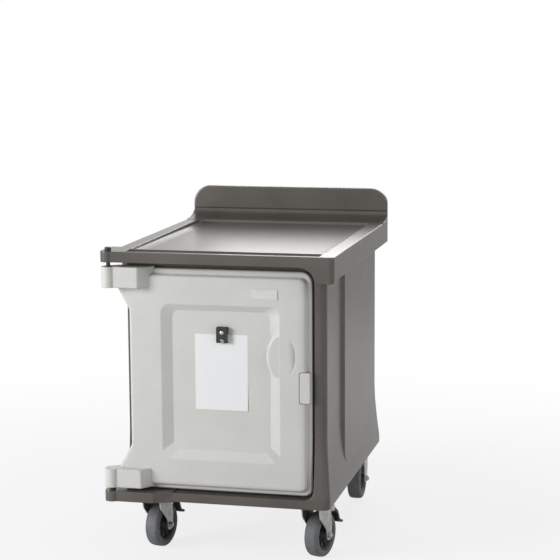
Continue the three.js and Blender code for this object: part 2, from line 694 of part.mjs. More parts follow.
/** Pocket for the steel plate that holds one caster, with the holes of its studs. */
function insertPocket(x, y) {
  const [halfWidth, halfLength] = INSERT_HALF.map((half) => half + SEAT);
  const foot = CABINET_FOOT + INSERT_DEPTH - SEAT;
  const top = CABINET_FOOT + INSERT_DEPTH + INSERT_THICKNESS + SEAT;
  return join(
    prism(rectangle(x - halfWidth, y - halfLength, x + halfWidth, y + halfLength), foot, top),
    ...STUDS.map(([sx, sy]) => post(x + sx, y + sy, CABINET_FOOT - 5, foot + 1, STUD_RADIUS + STUD_GAP, 8)),
  );
}

function cabinetShell() {
  const walls = cut(join(cabinetBlock(), raisedPanel(), mirrored(raisedPanel())), doorSeat());
  return cut(
    join(walls, lowerLug()),
    cavity(),
    ...CASTERS.map(({ x, y }) => insertPocket(x, y)),
    post(HINGE_X, HINGE_Y, LOWER_PIN_FOOT - SEAT, LOWER_LUG_TOP + 5, HINGE_PIN_RADIUS + RUN, 20),
  );
}

// ---------------------------------------------------------------- worktop
function worktopPlan(inset) {
  return outline([
    [-WORKTOP_HALF + inset, WORKTOP_FRONT + inset, WORKTOP_CORNER],
    [WORKTOP_HALF - inset, WORKTOP_FRONT + inset, WORKTOP_CORNER],
    [WORKTOP_HALF - inset, WORKTOP_BACK - inset, WORKTOP_BACK_CORNER],
    [-WORKTOP_HALF + inset, WORKTOP_BACK - inset, WORKTOP_BACK_CORNER],
  ]);
}

function worktopSlab() {
  return loft([
    [BLOCK_FOOT, worktopPlan(0)],
    [WORKTOP_TOP - WORKTOP_EDGE, worktopPlan(0)],
    [WORKTOP_TOP - WORKTOP_EDGE * 0.3, worktopPlan(WORKTOP_EDGE * 0.3)],
    [WORKTOP_TOP, worktopPlan(WORKTOP_EDGE)],
  ]);
}

/** Everything below the worktop that its skirt, its apron and its corner block stand clear of. */
function worktopHollows() {
  const far = WORKTOP_HALF + 20;
  const foot = BLOCK_FOOT - 20;
  const inner = WORKTOP_HALF - SKIRT_WALL;
  const apron = outline([
    [-far, foot], [BLOCK_LEFT, foot], [BLOCK_LEFT, APRON_FOOT, BLOCK_ARC], [-far, APRON_FOOT],
  ], 7);
  return [
    prism(rectangle(-inner, -SEAT, inner, WORKTOP_BACK - SKIRT_WALL), foot, WORKTOP_UNDERSIDE),
    prism(rectangle(-far, 5, far, WORKTOP_BACK + 20), foot, SKIRT_FOOT),
    prism(rectangle(-far, WORKTOP_FRONT - 20, -inner, SKIRT_START), foot, APRON_FOOT),
    facingFront(prism(apron, SEAT, -WORKTOP_FRONT + 20)),
  ];
}

/** Dished deck with a sloping foot all round, and the low shelf in front of it. */
function worktopDeck() {
  const loop = (inset) => rectangle(
    -DECK_HALF_WIDTH + inset,
    DECK_FRONT + inset,
    DECK_HALF_WIDTH - inset,
    DECK_BACK - inset,
    DECK_CORNER,
  );
  const floor = WORKTOP_TOP - DECK_DEPTH;
  const shelf = rectangle(
    -DECK_HALF_WIDTH, WORKTOP_FRONT + SHELF_SETBACK, DECK_HALF_WIDTH, DECK_FRONT - DAM_WIDTH, 6,
  );
  return [
    loft([
      [floor, loop(DECK_SLOPE)],
      [floor + DECK_FALL * 0.35, loop(DECK_SLOPE * 0.4)],
      [floor + DECK_FALL, loop(DECK_WALL_SLOPE)],
      [WORKTOP_TOP, loop(0)],
      [WORKTOP_TOP + 10, loop(0)],
    ]),
    prism(shelf, WORKTOP_TOP - SHELF_DROP, WORKTOP_TOP + 10),
  ];
}

/** Groove that lets water off the deck, across the right-hand rail. */
function drainGroove() {
  const y = DECK_BACK - DRAIN_SETBACK;
  return prism(
    rectangle(DECK_HALF_WIDTH - 3, y - DRAIN_WIDTH, WORKTOP_HALF + 5, y),
    WORKTOP_TOP - DRAIN_DEPTH,
    WORKTOP_TOP + 10,
  );
}

/** Flat tab with a round nose that carries the upper hinge pin. */
function upperLug() {
  const left = HINGE_X - LUG_RADIUS;
  const right = -WORKTOP_HALF + LUG_ROOT;
  return join(
    prism(rectangle(left, HINGE_Y, right, LUG_BACK, 10), APRON_FOOT, WORKTOP_TOP),
    prism(rectangle(HINGE_X, WORKTOP_FRONT, right, HINGE_Y + LUG_RADIUS), APRON_FOOT, WORKTOP_TOP),
    post(HINGE_X, HINGE_Y, APRON_FOOT, WORKTOP_TOP, LUG_RADIUS, 28),
  );
}

/** Foot of the push panel: it rises from the deck through a hollow quarter ellipse. */
function pushCove() {
  const neck = PUSH_FACE + PUSH_OVERHANG;
  const steps = 8;
  const sweep = Array.from({ length: steps + 1 }, (_, step) => {
    const angle = (Math.PI / 2) * (step / steps);
    return [
      DECK_BACK + (neck - DECK_BACK) * Math.sin(angle),
      WORKTOP_TOP + (PUSH_CREASE - WORKTOP_TOP) * (1 - Math.cos(angle)),
    ];
  });
  const root = WORKTOP_TOP - DECK_DEPTH;
  const profile = outline([
    [DECK_BACK, root], [WORKTOP_BACK, root], [WORKTOP_BACK, PUSH_CREASE + 2], [neck, PUSH_CREASE + 2],
    ...sweep.reverse(),
  ]);
  return facingRight(prism(profile, -WORKTOP_HALF, WORKTOP_HALF));
}

/** Push panel over its cove, with rounded front and top edges. */
function pushPanel() {
  const face = (side, top) => {
    const x = WORKTOP_HALF - side;
    const foot = PUSH_CREASE + side / 2;
    const corner = PUSH_CORNER - side;
    return outline([[-x, foot], [x, foot], [x, PUSH_TOP - top, corner], [-x, PUSH_TOP - top, corner]], 8);
  };
  const panel = facingFront(loft([
    [-WORKTOP_BACK, face(0, PUSH_EDGE)],
    [-WORKTOP_BACK + PUSH_EDGE * 0.3, face(0, PUSH_EDGE * 0.3)],
    [-WORKTOP_BACK + PUSH_EDGE, face(0, 0)],
    [-PUSH_FACE - PUSH_EDGE, face(0, 0)],
    [-PUSH_FACE - PUSH_EDGE * 0.3, face(PUSH_EDGE * 0.3, PUSH_EDGE * 0.3)],
    [-PUSH_FACE, face(PUSH_EDGE, PUSH_EDGE)],
  ]));
  const plan = prism(worktopPlan(0), WORKTOP_TOP - DECK_DEPTH - 5, PUSH_TOP + 5);
  return join(panel, pushCove()).intersect(solid(plan));
}

function worktop() {
  const slab = cut(worktopSlab(), ...worktopHollows(), ...worktopDeck());
  return cut(
    join(slab, pushPanel(), upperLug()),
    drainGroove(),
    mirrored(drainGroove()),
    post(HINGE_X, HINGE_Y, APRON_FOOT - 5, WORKTOP_TOP + 5, HINGE_PIN_RADIUS + RUN, 20),
  );
}

// ---------------------------------------------------------------- tray racks
/** Window between two ledges of a rack, as a hole through its panel. */
function rackWindow(ledge, index) {
  const pitch = (RACK_BACK - RACK_FRONT) / RACK_WINDOWS;
  const y = RACK_FRONT + (index + 0.5) * pitch;
  const z = ledge + (TRAY_PITCH - LEDGE_THICKNESS) / 2;
  const [halfWidth, halfHeight] = [WINDOW_WIDTH / 2, WINDOW_HEIGHT / 2];
  return rectangle(y - halfWidth, z - halfHeight, y + halfWidth, z + halfHeight, WINDOW_CORNER, 1);
}

/** Right-hand rack's pierced panel, which lies against the compartment's wall. */
function rackPanel() {
  const windows = LEDGES.slice(0, -1).flatMap((ledge) => (
    Array.from({ length: RACK_WINDOWS }, (_, index) => rackWindow(ledge, index))
  ));
  const panel = rectangle(RACK_FRONT, RACK_FOOT, RACK_BACK, RACK_TOP, RACK_CORNER);
  return facingRight(prism(panel, RACK_FACE, RACK_FACE + RACK_WALL, windows));
}

/** Right-hand ledge whose upper face is at this height, with a stop at each end. */
function trayLedge(top) {
  const root = RACK_FACE - SEAT;
  const edge = RACK_FACE - LEDGE_WIDTH;
  const profile = outline([
    [edge, top - LEDGE_EDGE_THICKNESS, 1.5], [root, top - LEDGE_ROOT_THICKNESS],
    [root, top], [edge, top, 1.5],
  ], 2);
  const stops = [RACK_FRONT, RACK_BACK - STOP_LENGTH].map((y) => (
    prism(rectangle(edge, y, root, y + STOP_LENGTH, 2, 1), top - 2, top + STOP_HEIGHT)
  ));
  return join(facingFront(prism(profile, -RACK_BACK, -RACK_FRONT)), ...stops);
}

/** Both racks: a panel on each side, and a pair of ledges for each level of trays. */
function trayRacks() {
  const panel = rackPanel();
  const group = new THREE.Group();
  group.add(
    piece('tray_rack_right', 'rackPlastic', panel),
    piece('tray_rack_left', 'rackPlastic', mirrored(geometryOf(asSolid(panel)))),
  );
  LEDGES.forEach((top, index) => {
    const ledge = trayLedge(top);
    group.add(
      piece(`tray_ledge_right_${index + 1}`, 'rackPlastic', ledge),
      piece(`tray_ledge_left_${index + 1}`, 'rackPlastic', mirrored(geometryOf(ledge))),
    );
  });
  return group;
}

// ---------------------------------------------------------------- door
/** Front view of the door's edge: straight at the right, swept out to both hinge arms at the left. */
function doorLoop({ right = 0, foot = 0, top = 0, left = 0 }, cornerTop, cornerFoot) {
  const waist = DOOR_LEFT + left;
  const tip = waist - DOOR_WING;
  return outline([
    [DOOR_RIGHT - right, DOOR_FOOT + foot, cornerFoot],
    [DOOR_RIGHT - right, DOOR_TOP - top, cornerTop],
    [tip + WING_TAPER, DOOR_TOP - top, 8],
    [tip, UPPER_ARM_FOOT],
    [waist, UPPER_ARM_FOOT - WING_RISE, 30],
    [waist, LOWER_ARM_TOP + WING_RISE, 30],
    [tip, LOWER_ARM_TOP],
    [tip + WING_TAPER, DOOR_FOOT + foot, 8],
  ]);
}

function doorRim() {
  const whole = doorLoop({}, DOOR_CORNER_TOP, DOOR_CORNER_BOTTOM);
  const front = doorLoop(
    { right: RIM_EDGE, foot: RIM_EDGE, top: RIM_EDGE },
    DOOR_CORNER_TOP - RIM_EDGE,
    DOOR_CORNER_BOTTOM - RIM_EDGE,
  );
  return facingFront(loft([[-DOOR_BACK, whole], [-RIM_FRONT - RIM_EDGE, whole], [-RIM_FRONT, front]]));
}

/** Main panel of the door, which stands out from the rim with a broad rounded edge. */
function doorPanel() {
  const loop = (share) => doorLoop({
    right: RIM_WIDTH + share * PANEL_ROUND,
    foot: RIM_WIDTH + share * PANEL_ROUND_TOP,
    top: RIM_WIDTH_TOP + share * PANEL_ROUND_TOP,
    left: PANEL_LEDGE + share * PANEL_ROUND_LEFT,
  }, PANEL_FACE_CORNER, PANEL_FACE_CORNER);
  const rounded = [[0, 0], [0.47, 0.1], [0.76, 0.28], [0.94, 0.6], [1, 1]];
  return facingFront(loft([
    [-RIM_FRONT - RIM_EDGE, loop(0)],
    ...rounded.map(([rise, share]) => [-RIM_FRONT + rise * PANEL_STEP, loop(share)]),
  ]));
}

function doorPlug() {
  const loop = (inset, corner) => {
    const gap = PLUG_GAP + inset;
    return rectangle(-OPENING_HALF + gap, OPENING_FOOT + gap, OPENING_HALF - gap, OPENING_TOP - gap, corner);
  };
  return facingFront(loft([
    [-DOOR_INSIDE, loop(4, CAVITY_CORNER - 8)],
    [-DOOR_INSIDE + 4, loop(0, CAVITY_CORNER - 4)],
    [-DOOR_BACK + 4, loop(0, CAVITY_CORNER - 4)],
  ]));
}

/** One of the two arms that carry the door on its hinge pins. */
function hingeArm(z0, z1) {
  const knee = HINGE_X + ARM_LENGTH;
  const plan = outline([
    [HINGE_X, HINGE_Y - ARM_REACH],
    [knee, HINGE_Y - ARM_REACH, 8],
    [knee + ARM_SLOPE, RIM_FRONT + RIM_EDGE],
    [knee + ARM_SLOPE, ARM_BACK],
    [HINGE_X + LUG_RADIUS, ARM_BACK, 14],
    [HINGE_X - ARM_RADIUS * 0.7, HINGE_Y + ARM_RADIUS * 0.7],
  ]);
  return join(prism(plan, z0, z1), post(HINGE_X, HINGE_Y, z0, z1, ARM_RADIUS, 28));
}

/** Dished field in the door's face, with a different slope on each edge. */
function doorField() {
  const loop = (share) => {
    const left = 1 - share;
    return rectangle(
      FIELD_LEFT + FIELD_SLOPE_SIDE * left,
      FIELD_BOTTOM + FIELD_SLOPE_BOTTOM * left,
      FIELD_RIGHT - FIELD_SLOPE_SIDE * left,
      FIELD_TOP - FIELD_SLOPE_TOP * left,
      FIELD_CORNER - 6 * left,
      6,
    );
  };
  return facingFront(loft([0, 1.4].map((share) => [-FIELD_FACE + FIELD_DEPTH * share, loop(share)])));
}

/** Outline of the grip, drawn in by an inset. */
const gripOval = (inset) => ellipse(GRIP_X, GRIP_Z, GRIP_WIDTH / 2 - inset, GRIP_HEIGHT / 2 - inset, 32);

/** Oval pad that rises out of the field, across its right edge. */
function gripPad() {
  const rise = FIELD_DEPTH - GRIP_SHY;
  const rounded = [[0, 0], [0.35, 0.06], [0.68, 0.27], [0.9, 0.6], [1, 1]];
  return facingFront(loft([
    [-FIELD_FACE - 2, gripOval(0)],
    ...rounded.map(([share, inset]) => [-FIELD_FACE + rise * share, gripOval(inset * GRIP_SLOPE)]),
  ]));
}

/** Hollow for the thumb, which deepens towards the grip's right-hand edge. */
function thumbHollow() {
  const right = GRIP_X + GRIP_WIDTH / 2;
  const left = right - THUMB_WIDTH;
  const wedge = [
    [left, DOOR_FACE - 10], [left, DOOR_FACE], [left + THUMB_WIDTH * 0.48, DOOR_FACE + THUMB_DEPTH * 0.22],
    [right, DOOR_FACE + THUMB_DEPTH], [right + 5, DOOR_FACE + THUMB_DEPTH], [right + 5, DOOR_FACE - 10],
  ].map(([x, y]) => new THREE.Vector2(x, y));
  const reach = facingFront(prism(gripOval(0), -DOOR_FACE - THUMB_DEPTH - 5, -DOOR_FACE + 5));
  return solid(prism(wedge, GRIP_Z - GRIP_HEIGHT, GRIP_Z + GRIP_HEIGHT)).intersect(solid(reach));
}

/** Pocket, channel and slot in the door's edge for the latch, and the bore of its pin. */
function latchHousing() {
  const [foot, top] = [LATCH_FOOT - LATCH_SEAM, LATCH_TOP + LATCH_SEAM];
  const pocket = rectangle(LATCH_LEFT - LATCH_SEAM, foot, DOOR_RIGHT + 10, top, LATCH_CORNER, 2);
  const slotFoot = HOOK_FOOT - LATCH_GAP;
  const slot = rectangle(
    LATCH_PIVOT_X - HOOK_SWING, LATCH_PIVOT_Y, LATCH_PIVOT_X + LATCH_BARREL + LATCH_GAP, DOOR_INSIDE + 5,
  );
  const [pinFoot, pinTop] = [foot - LATCH_PIN_END - SEAT, top + LATCH_PIN_END + SEAT];
  return [
    facingFront(prism(pocket, -LATCH_PIVOT_Y - LATCH_SWING, -DOOR_FACE + 10)),
    post(LATCH_PIVOT_X, LATCH_PIVOT_Y, foot, top, LATCH_BARREL + LATCH_GAP, 20),
    prism(slot, slotFoot, slotFoot + HOOK_HEIGHT + 2 * LATCH_GAP),
    post(LATCH_PIVOT_X, LATCH_PIVOT_Y, pinFoot, pinTop, LATCH_PIN_RADIUS + RUN, 12),
  ];
}

function door() {
  const bore = HINGE_PIN_RADIUS + RUN + BUSH_WALL + RUN;
  const body = join(
    doorRim(),
    doorPanel(),
    doorPlug(),
    hingeArm(LOWER_ARM_FOOT, LOWER_ARM_TOP),
    hingeArm(UPPER_ARM_FOOT, UPPER_ARM_TOP),
  );
  return cut(
    join(cut(body, doorField()), gripPad()),
    thumbHollow(),
    ...latchHousing(),
    post(HINGE_X, HINGE_Y, UPPER_ARM_TOP - PIN_ENGAGEMENT - SEAT, UPPER_ARM_TOP + 5, bore, 20),
    post(HINGE_X, HINGE_Y, LOWER_ARM_FOOT - 5, LOWER_ARM_FOOT + PIN_ENGAGEMENT + SEAT, bore, 20),
  );
}

/** Rubber seal round the plug, on the back of the door. */
function doorGasket() {
  const inner = PLUG_GAP - 3;
  const ring = (gap, corner) => rectangle(
    -OPENING_HALF - gap, OPENING_FOOT - gap, OPENING_HALF + gap, OPENING_TOP + gap, corner,
  );
  const y0 = DOOR_BACK + SEAT;
  return facingFront(prism(
    ring(inner + GASKET_WIDTH, CAVITY_CORNER + GASKET_WIDTH),
    -y0 - GASKET_THICKNESS,
    -y0,
    [ring(inner, CAVITY_CORNER)],
  ));
}

// ---------------------------------------------------------------- hinge
/** Turned piece about the hinge axis, from [radius, z] points. */
function onHinge(profile, segments = 20) {
  const points = profile.map(([radius, z]) => new THREE.Vector2(radius, z));
  return new THREE.LatheGeometry(points, segments).rotateX(Math.PI / 2).translate(HINGE_X, HINGE_Y, 0);
}

function upperHingePin() {
  const foot = UPPER_ARM_TOP - PIN_ENGAGEMENT + 3;
  const seat = WORKTOP_TOP + SEAT;
  const top = seat + HINGE_HEAD_HEIGHT;
  return onHinge([
    [0, foot], [HINGE_PIN_RADIUS, foot], [HINGE_PIN_RADIUS, seat], [HINGE_HEAD_RADIUS, seat],
    [HINGE_HEAD_RADIUS, top - 2], [HINGE_HEAD_RADIUS - 2, top], [0, top],
  ]);
}

function lowerHingePin() {
  const top = LOWER_ARM_FOOT + PIN_ENGAGEMENT - 3;
  return onHinge([
    [0, LOWER_PIN_FOOT], [HINGE_PIN_RADIUS, LOWER_PIN_FOOT], [HINGE_PIN_RADIUS, top - 3],
    [HINGE_PIN_RADIUS - 2, top], [0, top],
  ]);
}

/** Collared sleeve that lines an arm's bore; the collar ends at collarEnd, outside the arm. */
function hingeBush(face, collarEnd, end) {
  const bore = HINGE_PIN_RADIUS + RUN;
  return onHinge([
    [bore, end], [bore + BUSH_WALL, end], [bore + BUSH_WALL, face],
    [COLLAR_RADIUS, face], [COLLAR_RADIUS, collarEnd], [bore, collarEnd], [bore, end],
  ]);
}

// ---------------------------------------------------------------- latch
/** Plan of the latch's hook, from its barrel through the door to behind the strike's lip. */
function latchHook() {
  const reach = STRIKE_LIP_FRONT + STRIKE_THICKNESS + HOOK_CATCH;
  const right = HOOK_LEFT + HOOK_WIDTH;
  return outline([
    [HOOK_LEFT + 3, LATCH_PIVOT_Y], [LATCH_PIVOT_X + 3, LATCH_PIVOT_Y],
    [right, DOOR_BACK], [right, reach],
    [STRIKE_X - 2, reach], [STRIKE_X - 4, reach + HOOK_WIDTH, 3], [HOOK_LEFT, reach + HOOK_WIDTH, 3],
  ], 2);
}

/** Press-in paddle whose hook reaches through the door to the strike. */
function doorLatch() {
  const back = LATCH_PIVOT_Y - LATCH_BARREL - LATCH_STAND;
  const front = back - LATCH_PLATE;
  const plate = (inset) => rectangle(
    LATCH_LEFT + inset * 0.2, LATCH_FOOT + inset, LATCH_RIGHT - inset, LATCH_TOP - inset, LATCH_CORNER, 3,
  );
  const paddle = facingFront(loft([
    [-back, plate(0)],
    [-front - LATCH_EDGE, plate(0)],
    [-front - LATCH_EDGE * 0.3, plate(LATCH_EDGE * 0.3)],
    [-front, plate(LATCH_EDGE)],
  ]));
  const web = rectangle(LATCH_PIVOT_X - LATCH_BARREL, back - 1, LATCH_PIVOT_X + LATCH_BARREL, LATCH_PIVOT_Y);
  const springFoot = LATCH_FOOT + SPRING_SEAT;
  const springTop = springFoot + SPRING_PITCH * SPRING_TURNS + 2 * SPRING_WIRE;
  const springRoom = rectangle(LATCH_PIVOT_X - 8, back, LATCH_PIVOT_X + 8, LATCH_PIVOT_Y + 8);
  return cut(
    join(
      paddle,
      post(LATCH_PIVOT_X, LATCH_PIVOT_Y, LATCH_FOOT, LATCH_TOP, LATCH_BARREL),
      prism(web, LATCH_FOOT + LATCH_CORNER, LATCH_TOP - LATCH_CORNER),
      prism(latchHook(), HOOK_FOOT, HOOK_FOOT + HOOK_HEIGHT),
    ),
    prism(springRoom, springFoot, springTop),
    post(LATCH_PIVOT_X, LATCH_PIVOT_Y, LATCH_FOOT - 5, LATCH_TOP + 5, LATCH_PIN_RADIUS + RUN, 12),
  );
}

function latchPin() {
  const reach = LATCH_SEAM + LATCH_PIN_END;
  return post(LATCH_PIVOT_X, LATCH_PIVOT_Y, LATCH_FOOT - reach, LATCH_TOP + reach, LATCH_PIN_RADIUS, 12);
}

function latchSpring() {
  const radius = LATCH_BARREL - SPRING_WIRE;
  const foot = LATCH_FOOT + SPRING_SEAT + SPRING_WIRE;
  return coilSpring('latch spring', radius, SPRING_WIRE, SPRING_PITCH, SPRING_TURNS)
    .translate(LATCH_PIVOT_X, LATCH_PIVOT_Y, foot);
}

/** Angled keeper on the right-hand wall of the opening. */
function latchStrike() {
  const y = STRIKE_LIP_FRONT;
  const right = STRIKE_X + STRIKE_THICKNESS;
  const plan = outline([
    [STRIKE_EDGE, y], [right, y], [right, y + STRIKE_LENGTH], [STRIKE_X, y + STRIKE_LENGTH],
    [STRIKE_X, y + STRIKE_THICKNESS], [STRIKE_EDGE, y + STRIKE_THICKNESS],
  ]);
  const middle = (LATCH_FOOT + LATCH_TOP) / 2;
  const holes = [-1, 1].map((side) => crossbar(
    STRIKE_X - 5,
    right + 5,
    y + STRIKE_LENGTH * 0.6,
    middle + side * STRIKE_HEIGHT * 0.3,
    STRIKE_SCREW_RADIUS,
    8,
  ));
  return cut(prism(plan, middle - STRIKE_HEIGHT / 2, middle + STRIKE_HEIGHT / 2), ...holes);
}

// ---------------------------------------------------------------- name plate and menu holder
function namePlate() {
  const [halfWidth, halfHeight] = [NAME_WIDTH / 2, NAME_HEIGHT / 2];
  const plate = rectangle(
    NAME_X - halfWidth, NAME_Z - halfHeight, NAME_X + halfWidth, NAME_Z + halfHeight, 3, 3,
  );
  const back = -DOOR_FACE + SEAT;
  return facingFront(prism(plate, back, back + NAME_THICKNESS));
}

function menuCard() {
  const half = CARD_WIDTH / 2;
  const sheet = rectangle(CARD_X - half, CARD_TOP - CARD_HEIGHT, CARD_X + half, CARD_TOP, 2, 2);
  return facingFront(prism(sheet, -FIELD_FACE + SEAT, -CARD_FACE));
}

/** Ear of the clip between x0 and x1: a foot on the plate and a round nose round the pin. */
function clipEar(x0, x1) {
  const y = FIELD_FACE - SEAT - CLIP_PLATE + 1;
  const nose = Array.from({ length: 9 }, (_, step) => {
    const angle = Math.PI / 2 + (Math.PI * step) / 8;
    return new THREE.Vector2(
      CLIP_PIVOT_Y + CLIP_NOSE * Math.cos(angle), CLIP_PIVOT_Z + CLIP_NOSE * Math.sin(angle),
    );
  });
  const ear = [
    new THREE.Vector2(y, CLIP_PIVOT_Z + CLIP_NOSE),
    ...nose,
    new THREE.Vector2(y, CLIP_PIVOT_Z - CLIP_NOSE),
  ];
  return facingRight(prism(ear, x0, x1));
}

/** Bore of the clip's pin, right across the clip. */
function clipBore() {
  const reach = CLIP_HALF + 5;
  return crossbar(CLIP_X - reach, CLIP_X + reach, CLIP_PIVOT_Y, CLIP_PIVOT_Z, CLIP_PIN_RADIUS + RUN, 10);
}

/** Plate on the door, with two ears that hold the lever's pin. */
function clipBase() {
  const plate = rectangle(CLIP_X - CLIP_HALF, CARD_TOP + 2, CLIP_X + CLIP_HALF, CLIP_TOP - 1, 3, 2);
  const back = -FIELD_FACE + SEAT;
  const outer = CLIP_HALF - 1;
  return cut(
    join(
      facingFront(prism(plate, back, back + CLIP_PLATE)),
      clipEar(CLIP_X - outer, CLIP_X - outer + CLIP_EAR),
      clipEar(CLIP_X + outer - CLIP_EAR, CLIP_X + outer),
    ),
    clipBore(),
  );
}

/** Front view of the clip's lever, with a notch between its two toes. */
function leverOutline() {
  const foot = CLIP_TOP - CLIP_HEIGHT;
  const [left, right] = [CLIP_X - CLIP_HALF, CLIP_X + CLIP_HALF];
  const [notch, notchTop] = [CLIP_NOTCH[0], foot + CLIP_NOTCH[1]];
  return outline([
    [left, foot, 2], [CLIP_X - notch, foot, 2], [CLIP_X - notch, notchTop, 3],
    [CLIP_X + notch, notchTop, 3], [CLIP_X + notch, foot, 2], [right, foot, 2],
    [right, CLIP_TOP, 5], [left, CLIP_TOP, 5],
  ], 3);
}

/** Lever whose two toes press the card against the door. */
function clipLever() {
  const foot = CLIP_TOP - CLIP_HEIGHT;
  const toe = (x0, x1) => facingFront(
    prism(rectangle(x0, foot, x1, foot + CLIP_TOE, 1, 1), -CARD_FACE + SEAT, -LEVER_BACK + 1),
  );
  const inner = CLIP_HALF - 1 - CLIP_EAR - SEAT;
  const web = rectangle(CLIP_X - inner, LEVER_BACK - 1, CLIP_X + inner, CLIP_PIVOT_Y);
  const plateFront = -LEVER_BACK + CLIP_PLATE;
  const shank = post(CLIP_X, CLIP_PIVOT_Z, -LEVER_BACK - 1, plateFront + 2, RIVET_SHANK + RUN, 12);
  return cut(
    join(
      facingFront(prism(leverOutline(), -LEVER_BACK, plateFront)),
      toe(CLIP_X - CLIP_HALF, CLIP_X - CLIP_NOTCH[0]),
      toe(CLIP_X + CLIP_NOTCH[0], CLIP_X + CLIP_HALF),
      crossbar(CLIP_X - inner, CLIP_X + inner, CLIP_PIVOT_Y, CLIP_PIVOT_Z, CLIP_NOSE - 0.4, 12),
      prism(web, CLIP_PIVOT_Z - 2, CLIP_PIVOT_Z + 2),
    ),
    clipBore(),
    facingFront(shank),
  );
}

function clipPin() {
  return crossbar(
    CLIP_X - CLIP_HALF, CLIP_X + CLIP_HALF, CLIP_PIVOT_Y, CLIP_PIVOT_Z, CLIP_PIN_RADIUS, 10,
  );
}

/** Domed rivet in the middle of the lever. */
function clipRivet() {
  const face = -LEVER_BACK + CLIP_PLATE + SEAT;
  const profile = [
    [0, face - CLIP_PLATE], [RIVET_SHANK, face - CLIP_PLATE], [RIVET_SHANK, face],
    [RIVET_RADIUS, face], [RIVET_RADIUS * 0.92, face + 1.1],
    [RIVET_RADIUS * 0.6, face + 2], [0, face + 2.4],
  ].map(([radius, height]) => new THREE.Vector2(radius, height));
  const rivet = new THREE.LatheGeometry(profile, 16).rotateX(Math.PI / 2);
  return facingFront(rivet.translate(CLIP_X, CLIP_PIVOT_Z, 0));
}

// ---------------------------------------------------------------- casters
function studHoles(z0, z1) {
  return STUDS.map(([x, y]) => post(x, y, z0, z1, STUD_RADIUS + STUD_GAP, 8));
}

function topPlate() {
  const [halfWidth, halfLength] = [PLATE_WIDTH / 2, PLATE_LENGTH / 2];
  const plate = rectangle(-halfWidth, -halfLength, halfWidth, halfLength, PLATE_CORNER, 3);
  return prism(plate, PLATE_FOOT, PLATE_TOP);
}

/** Plate of a swivel caster, with the round raceway under it. */
function swivelPlate() {
  return cut(
    join(topPlate(), post(0, 0, RACE_FOOT, PLATE_FOOT + 1, RACE_RADIUS, 24)),
    ...studHoles(PLATE_FOOT - 5, PLATE_TOP + 5),
    post(0, 0, RACE_FOOT - 5, PLATE_TOP - KINGPIN_SHY + SEAT, KINGPIN_RADIUS + RUN, 20),
  );
}

/** Steel plate moulded into the cabinet's base, with the four studs and nuts that hold a caster. */
function casterInsert() {
  const [halfWidth, halfLength] = INSERT_HALF;
  const foot = CABINET_FOOT + INSERT_DEPTH;
  const nutTop = PLATE_FOOT - SEAT;
  return join(
    prism(rectangle(-halfWidth, -halfLength, halfWidth, halfLength), foot, foot + INSERT_THICKNESS),
    ...STUDS.flatMap(([x, y]) => [
      post(x, y, nutTop - NUT_HEIGHT - STUD_TAIL, foot + 1, STUD_RADIUS, 8),
      post(x, y, nutTop - NUT_HEIGHT, nutTop, NUT_RADIUS, 6),
    ]),
  );
}

/** Both legs of a fork, from one side view in Y and Z. */
function legs(side) {
  const right = facingRight(prism(side, FORK_INNER, FORK_HALF_WIDTH));
  return [right, mirrored(right)];
}

/** Swivelling fork: crown, two swept legs and two ears for the brake pedal. */
function swivelFork() {
  const plateTop = CROWN_TOP - CROWN_STEP;
  const side = outline([
    [CROWN_FRONT, plateTop, 4], [CROWN_BACK, plateTop, 4], [TRAIL + 20, WHEEL_RADIUS + 34, 40],
    [TRAIL + AXLE_BOSS + 1, WHEEL_RADIUS - AXLE_BOSS, AXLE_BOSS - 2],
    [TRAIL - AXLE_BOSS - 1, WHEEL_RADIUS - AXLE_BOSS, AXLE_BOSS - 2],
    [TRAIL - AXLE_BOSS - 5, WHEEL_RADIUS + 22, 30], [LEG_CURL[0], CROWN_FOOT - LEG_CURL[1], 24],
  ], 3);
  const ear = outline([
    [CROWN_BACK - 20, plateTop - 1], [CROWN_BACK + 16, plateTop - 1, 10],
    [PEDAL_PIVOT_Y + 11, PEDAL_PIVOT_Z + 8, 9], [PEDAL_PIVOT_Y + 10, PEDAL_PIVOT_Z - 9, 8],
    [PEDAL_PIVOT_Y - 6, PEDAL_PIVOT_Z - 7, 6], [CROWN_BACK - 10, PEDAL_PIVOT_Z + 7],
  ], 2);
  const earRight = PEDAL_LEFT - PEDAL_EAR_GAP;
  const crown = rectangle(-FORK_HALF_WIDTH, CROWN_FRONT, FORK_HALF_WIDTH, CROWN_BACK, 6, 3);
  const pinRadius = PEDAL_PIN_RADIUS + RUN;
  return cut(
    join(
      post(0, 0, plateTop - 1, CROWN_TOP, RACE_RADIUS, 24),
      prism(crown, CROWN_FOOT, plateTop),
      ...legs(side),
      facingRight(prism(ear, FORK_INNER, FORK_HALF_WIDTH)),
      facingRight(prism(ear, earRight - FORK_PLATE, earRight)),
    ),
    post(0, 0, CROWN_FOOT - 5, CROWN_TOP + 5, KINGPIN_RADIUS + RUN, 20),
    crossbar(-FORK_HALF_WIDTH - 5, FORK_HALF_WIDTH + 5, TRAIL, WHEEL_RADIUS, AXLE_RADIUS + RUN),
    crossbar(0, FORK_HALF_WIDTH + 5, PEDAL_PIVOT_Y, PEDAL_PIVOT_Z, pinRadius, 12),
  );
}

